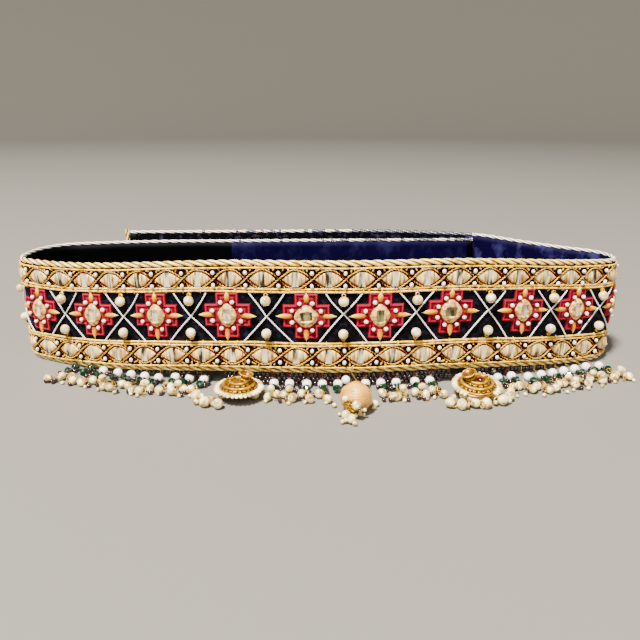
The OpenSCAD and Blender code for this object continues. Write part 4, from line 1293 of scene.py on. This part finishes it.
# the cup's wall: radius and height, up the outside and down the inside
CUP = [(1.8, 0.0), (1.9, 1.2), (2.4, 2.8), (3.6, CUP_HIGH), (3.1, CUP_HIGH), (1.9, 2.9), (1.3, 1.4),
       (0.1, 1.0), (0.1, 0.0)]
wall_profile = [(COLLAR_R, 0.0), (COLLAR_R, 0.5)] + [dome_at(a) for a in range(0, 80, 13)]
wall_profile += [(0.1, BELL_HIGH), (0.1, BELL_HIGH - BELL_WALL)]
wall_profile += [dome_at(a, -BELL_WALL) for a in range(78, -1, -13)]
hung, collars, stands = [], [], []
for side, bell_s, bell_out, rim_z, lean, cup_x, cup_tip in BELLS:
    middle = Vector(lay((bell_s, bell_out, 0)))
    middle.z = rim_z * MM
    stand = Matrix.Translation(middle) @ Matrix.Rotation(math.radians(lean), 4, "X")
    stands.append(stand)
    tipped = stand @ Matrix.Translation((cup_x * MM, 0, CUP_Z * MM))
    tipped = tipped @ Matrix.Rotation(math.radians(cup_tip), 4, "Y")
    rings = [circle_line(*dome_at(a, 0.3)) for a in RING_ANGLES]
    fine = [circle_line(*dome_at(a, 0.2), wave=0.25, waves=18, count=108) for a in FINE_ANGLES]
    fine.append(circle_line(COLLAR_R - 1.3, 0.9))
    grains = []
    for angle, count in GRAINS:
        r, z = dome_at(angle, 0.5)
        grains += [np.array([r * math.cos(q), r * math.sin(q), z]) * MM
                   for q in np.arange(count) * math.tau / count]
    dome = [cords("rings", rings, 1.5, gilt_dome, step=0.6, sides=8),
            cords("fine", fine, 0.7, gilt_dome, step=0.5, sides=6), turned_shape(wall_profile, 56, gilt_wall),
            sow("grains", ball(1.1, 8, 6), grains, gilt_dome, seed=50)]
    lips = [circle_line(3.35, CUP_HIGH, count=32), circle_line(2.2, 1.6, count=32)]
    cup = [turned_shape(CUP, 32, gilt_wall), cords("lip", lips, 0.9, gilt_dome, step=0.5, sides=6)]
    for mesh in dome:
        mesh.transform(stand)
    for mesh in cup:
        mesh.transform(tipped)
    name = f"bell_{side}"
    piece(name + "_gilt", joined(name + "_gilt", dome + cup), None, [name])
    # the collar: long seed pearls laid like rays
    rays = (np.arange(COLLAR_COUNT) + 0.5) * math.tau / COLLAR_COUNT
    rays = np.array([q for q in rays if side == "left" or abs(q - 1.5 * math.pi) > COLLAR_GAP])
    seeds = [np.array([COLLAR_R * math.cos(q), COLLAR_R * math.sin(q), COLLAR_UP]) * MM for q in rays]
    collar = sow("collar", lying_seed, seeds, pearl_field, rays, turn=0.15, size=0.1, seed=51)
    collar.transform(stand)
    collars.append(collar)
    for q in np.radians(HUNG_TURNS[side]):
        hung.append(stand @ Vector((HUNG_R * math.cos(q) * MM, HUNG_R * math.sin(q) * MM, -HUNG_DOWN * MM)))
piece("bell_collars", joined("bell_collars", collars), None)
hung_mesh = sow("bell_pearls_hung", ball(4.6, 18, 12), hung, pearl_cream, size=0.04, turn=1.0, seed=53)
piece("bell_pearls_hung", hung_mesh, None, ["bell_pearls"])


def on_floor(s, out, z):
    """A place beside a drop: along the belt, out from it, and above the surface, in metres."""
    x, y, _ = lay((s, out, 0))
    return np.array([x, y, z * MM])


# Cream pearls on gold loops lie round the bells: where the large ones lie, the small ones and the loops
BESIDE = ((-64, 28), (-70, 22.5), (-57.5, 29),
          (46, 29), (50.5, 32), (56.5, 31.5), (61.5, 33), (70, 31.5), (75, 28))
NESTED = ((-61, 24.5, 2.6), (-66, 25.5, 4.6), (-60, 27.5, 1.8), (-68.5, 26.5, 1.8),
          (48, 27, 4.6), (54, 31, 4.9), (66.5, 31.5, 1.8), (73, 31, 1.8))
LOOPED = ((-63, 25), (-60.5, 26), (-66.5, 27), (-69, 24.5), (47.5, 30.5), (53.5, 32), (59, 33), (68, 30.5))
bell_loops = []
for k, (s, out) in enumerate(LOOPED):
    level = np.array([math.cos(0.9 * k), math.sin(0.9 * k), 0]) * 1.9 * MM
    bell_loops.append(eyelet(on_floor(s, out, 2.6), level, np.array([0, 0.2, 1]) * 1.6 * MM, 14))
piece("bell_side_pearls", joined("bell_side_pearls", [
    sow("beside", ball(4.9, 18, 12, tall=5.2), [on_floor(s, out, 2.9) for s, out in BESIDE], pearl_cream,
        turn=1.3, size=0.08, seed=55),
    sow("nested", ball(2.7, 10, 8), [on_floor(*spot) for spot in NESTED], pearl_cream, turn=1.3, size=0.2,
        seed=56)]), None)
piece("bell_loops", cords("bell_loops", bell_loops, 0.7, gilt, step=0.6, sides=6), None)
# A dark garnet, cut glass, sits in the crown of the right bell
ruby_glass = glass_bead("red cut glass", "#1c0001", "#4c0206", 0.12)
crown = stands[1] @ Vector((1.2 * MM, -0.8 * MM, 4.2 * MM))
crown_mesh = sow("crown_garnet", ball(4.2, 14, 8, tall=2.6), [crown], ruby_glass, seed=57)
piece("crown_garnet", crown_mesh, None)

# THE PINK BEAD
# One large bead wound with peach silk, threaded on a slant. A gilt flower covers the front end of its bore,
# with a cream bead and seed pearls beside it, and a short tail ends in small feet.
BALL_OUT = 29
BALL_D = 15.5
# Peach silk, wound: a soft satin in two close tones, with the silk's turns 0.5 mm apart
pink, tree = material("peach silk-wound bead")
where = add(tree, "ShaderNodeTexCoord").outputs["Object"]
cloud = add(tree, "ShaderNodeTexNoise", {"Vector": where, "Scale": 140.0, "Detail": 4.0})
tone = add(tree, "ShaderNodeMapRange", {0: cloud.outputs[0], 1: 0.36, 2: 0.64})
wound = add(tree, "ShaderNodeTexWave", {
    "Vector": where, "Scale": 320.0, "Distortion": 1.5}, bands_direction="Z")
bump = add(tree, "ShaderNodeBump", {"Height": wound.outputs[1], "Strength": 0.35, "Distance": 0.0004})
painted(tree, {
    "Base Color": blend(tree, tone.outputs[0], "#a87018", "#dc9c34"), "Roughness": 0.42,
    "Normal": bump.outputs[0], "Coat Weight": 0.2, "Coat Roughness": 0.25, "Subsurface Weight": 0.1,
    "Subsurface Radius": (1.0, 0.6, 0.4), "Subsurface Scale": 0.002})
ball_middle = Vector(lay((BALL_S, BALL_OUT, 0)))
ball_middle.z = BALL_D / 2 * MM
ball_shape = ball(BALL_D, 40, 26)
for v in ball_shape.vertices:
    way = v.co.normalized()
    lump = 0.18 * math.sin(way.x * 5 + 1) * math.sin(way.y * 6) + 0.12 * math.sin(way.z * 9 + way.x * 4)
    v.co += way * (lump - 0.25) * MM
ball_shape.transform(Matrix.Translation(ball_middle))
piece("pink_bead", ball_shape, pink, ["pink_ball"])

bore = Vector((-0.4, -0.9, -0.1)).normalized()
bore_half = bore * (BALL_D / 2 + 0.4) * MM
ball_back, ball_front = ball_middle - bore_half, ball_middle + bore_half
# the tail's beads, the pearls caught round the flower and those at the ends of the short strings behind the
# ball: how wide each is and its place, to the right, inward and up from the middle of the ball
TAIL = ((4.4, (-5, -8, -5)), (4.4, (-3, -12, -5)), (2.3, (-1.5, -14, -6.5)), (2.3, (-7, -12, -6.5)),
        (2.4, (-5.5, -11.5, -6)))
CAUGHT = ((4.4, (-0.5, -9.5, 0.5)), (3, (-5.5, -6.5, 2.5)), (2, (1.5, -7.5, -5)), (2, (-0.5, -7, -6)),
          (2, (3, -7, -5.5)), (2, (1.5, -8.5, -2.5)), (1.6, (-8, -4.5, -6.5)), (1.8, (3.5, -7.5, -3)),
          (2.5, (-10, 5, -6.5)), (3.5, (10, 5.5, -6)), (2.2, (9, 2, -6.5)))
near_ball = [(wide, ball_middle + Vector(offset) * MM) for wide, offset in TAIL + CAUGHT]
tail_meshes = [sow(f"tail_{k}", ball(wide, 14, 10), [spot], pearl_cream, seed=60 + k)
               for k, (wide, spot) in enumerate(near_ball)]
piece("tail_beads", joined("tail_beads", tail_meshes), None, ["ball_tail"])
tail = [spot for wide, spot in near_ball[:len(TAIL)]]
caught_pearl = near_ball[len(TAIL)][1]

PETALS_ROUND = 6
side_way = bore.cross(Vector((0, 0, 1))).normalized()
up_way = side_way.cross(bore)
flower = []
for q in np.arange(PETALS_ROUND) * math.tau / PETALS_ROUND:
    out_way = side_way * math.cos(q) + up_way * math.sin(q)
    across_way = up_way * math.cos(q) - side_way * math.sin(q)
    centre = ball_front + out_way * 2.0 * MM - bore * 0.2 * MM
    flower.append(eyelet(centre, out_way * 1.4 * MM, across_way * 0.8 * MM))
hangers = [[lay((BALL_S, 2, 1)), ball_back, ball_front, *tail[:3]], [tail[0], tail[3]]]
for side, bell_s, bell_out, rim_z, lean, cup_x, cup_tip in BELLS:
    middle = Vector(lay((bell_s, bell_out, 0)))
    eye = middle + Vector((cup_x + 2.2 * math.sin(math.radians(cup_tip)), 3.2, rim_z + CUP_Z + 2.2)) * MM
    hangers.append([lay((bell_s, 2, 1)), eye])
piece("drop_threads", joined("drop_threads", [
    bead_threads("hangers", hangers), cords("flower", flower, 0.9, gilt_dome, step=0.5, sides=6)]), None)
# dark beads in the mouths of the ball's bore and of the large pearl's: painted shade in the holes
mouths = [ball_front - bore * 0.3 * MM, caught_pearl + Vector((1, -1.6, -1)) * MM]
piece("bore_mouths", sow("bore_mouths", ball(1.3, 10, 8), mouths, garnet_glass, seed=67), None)
thread_pearl = sow("ball_thread_pearl", ball(4.4, 18, 12), [lay((0.8, 3.4, -2.6))], pearl_white, seed=66)
piece("ball_thread_pearl", thread_pearl, None)

# THE SURFACE, THE LIGHT AND THE CAMERA
# A plain pale floor that curves up far from the belt all round, so that no edge shows. Soft studio light: a
# high key from the front left, a low fill in front and another at the right.
FLOOR_R, FLOOR_BEND, FLOOR_HIGH = 2.6, 1.4, 2.6
rise = [(FLOOR_R + FLOOR_BEND * math.sin(a), FLOOR_BEND * (1 - math.cos(a)))
        for a in np.linspace(0, math.pi / 2, 14)]
rings = [(FLOOR_R * share, 0.0) for share in (0.1, 0.5)] + rise + [(FLOOR_R + FLOOR_BEND, FLOOR_HIGH)]
around = np.linspace(0, math.tau, 96, endpoint=False)
floor_points = [(r * math.cos(q) / MM, r * math.sin(q) / MM, z / MM) for r, z in rings for q in around]
floor_faces = ring_faces(len(rings), len(around))[:-1]
floor = bpy.data.objects.new("floor", mesh_of("floor", floor_points, floor_faces))
bpy.context.scene.collection.objects.link(floor)
# Pale matt paint, with no pattern of its own
floor_paint, tree = material("pale matt floor")
painted(tree, {"Base Color": srgb("#6a655a"), "Roughness": 0.85})
floor.data.materials.append(floor_paint)

scene = bpy.context.scene
scene.world = bpy.data.worlds.new("studio")
scene.world.use_nodes = True
sky = scene.world.node_tree.nodes["Background"]
sky.inputs["Color"].default_value = srgb("#efebe4")
sky.inputs["Strength"].default_value = 0.08
AIM = Vector((0, 0, 0.03))
# columns: name, place, size and power
for name, spot, size, power in (
        ("key", (-0.9, -1.3, 3.1), 0.45, 690), ("front", (-0.3, -1.1, 0.9), 0.6, 9),
        ("side", (1.0, -0.3, 0.5), 0.8, 6)):
    lamp = bpy.data.lights.new(name, "AREA")
    lamp.size = size
    lamp.energy = power
    holder = bpy.data.objects.new(name, lamp)
    scene.collection.objects.link(holder)
    holder.location = spot
    holder.rotation_euler = (AIM - holder.location).to_track_quat("-Z", "Y").to_euler()

# The camera was fitted to the photograph, in the course's own frame, whose front middle is at 0, 0
CAMERA_BACK, CAMERA_HIGH, CAMERA_SIDE = 303.0, 138.5, -21.2
CAMERA_DOWN, CAMERA_TURN = 18.58, -1.68
camera = bpy.data.cameras.new("camera")
camera.sensor_width = 36.0
camera.lens = 36.0
viewer = bpy.data.objects.new("camera", camera)
scene.collection.objects.link(viewer)
viewer.location = ((CAMERA_SIDE - MID_X) * MM, (-CAMERA_BACK - MID_Y) * MM, CAMERA_HIGH * MM)
viewer.rotation_euler = (math.radians(90 - CAMERA_DOWN), 0, math.radians(CAMERA_TURN))
scene.camera = viewer
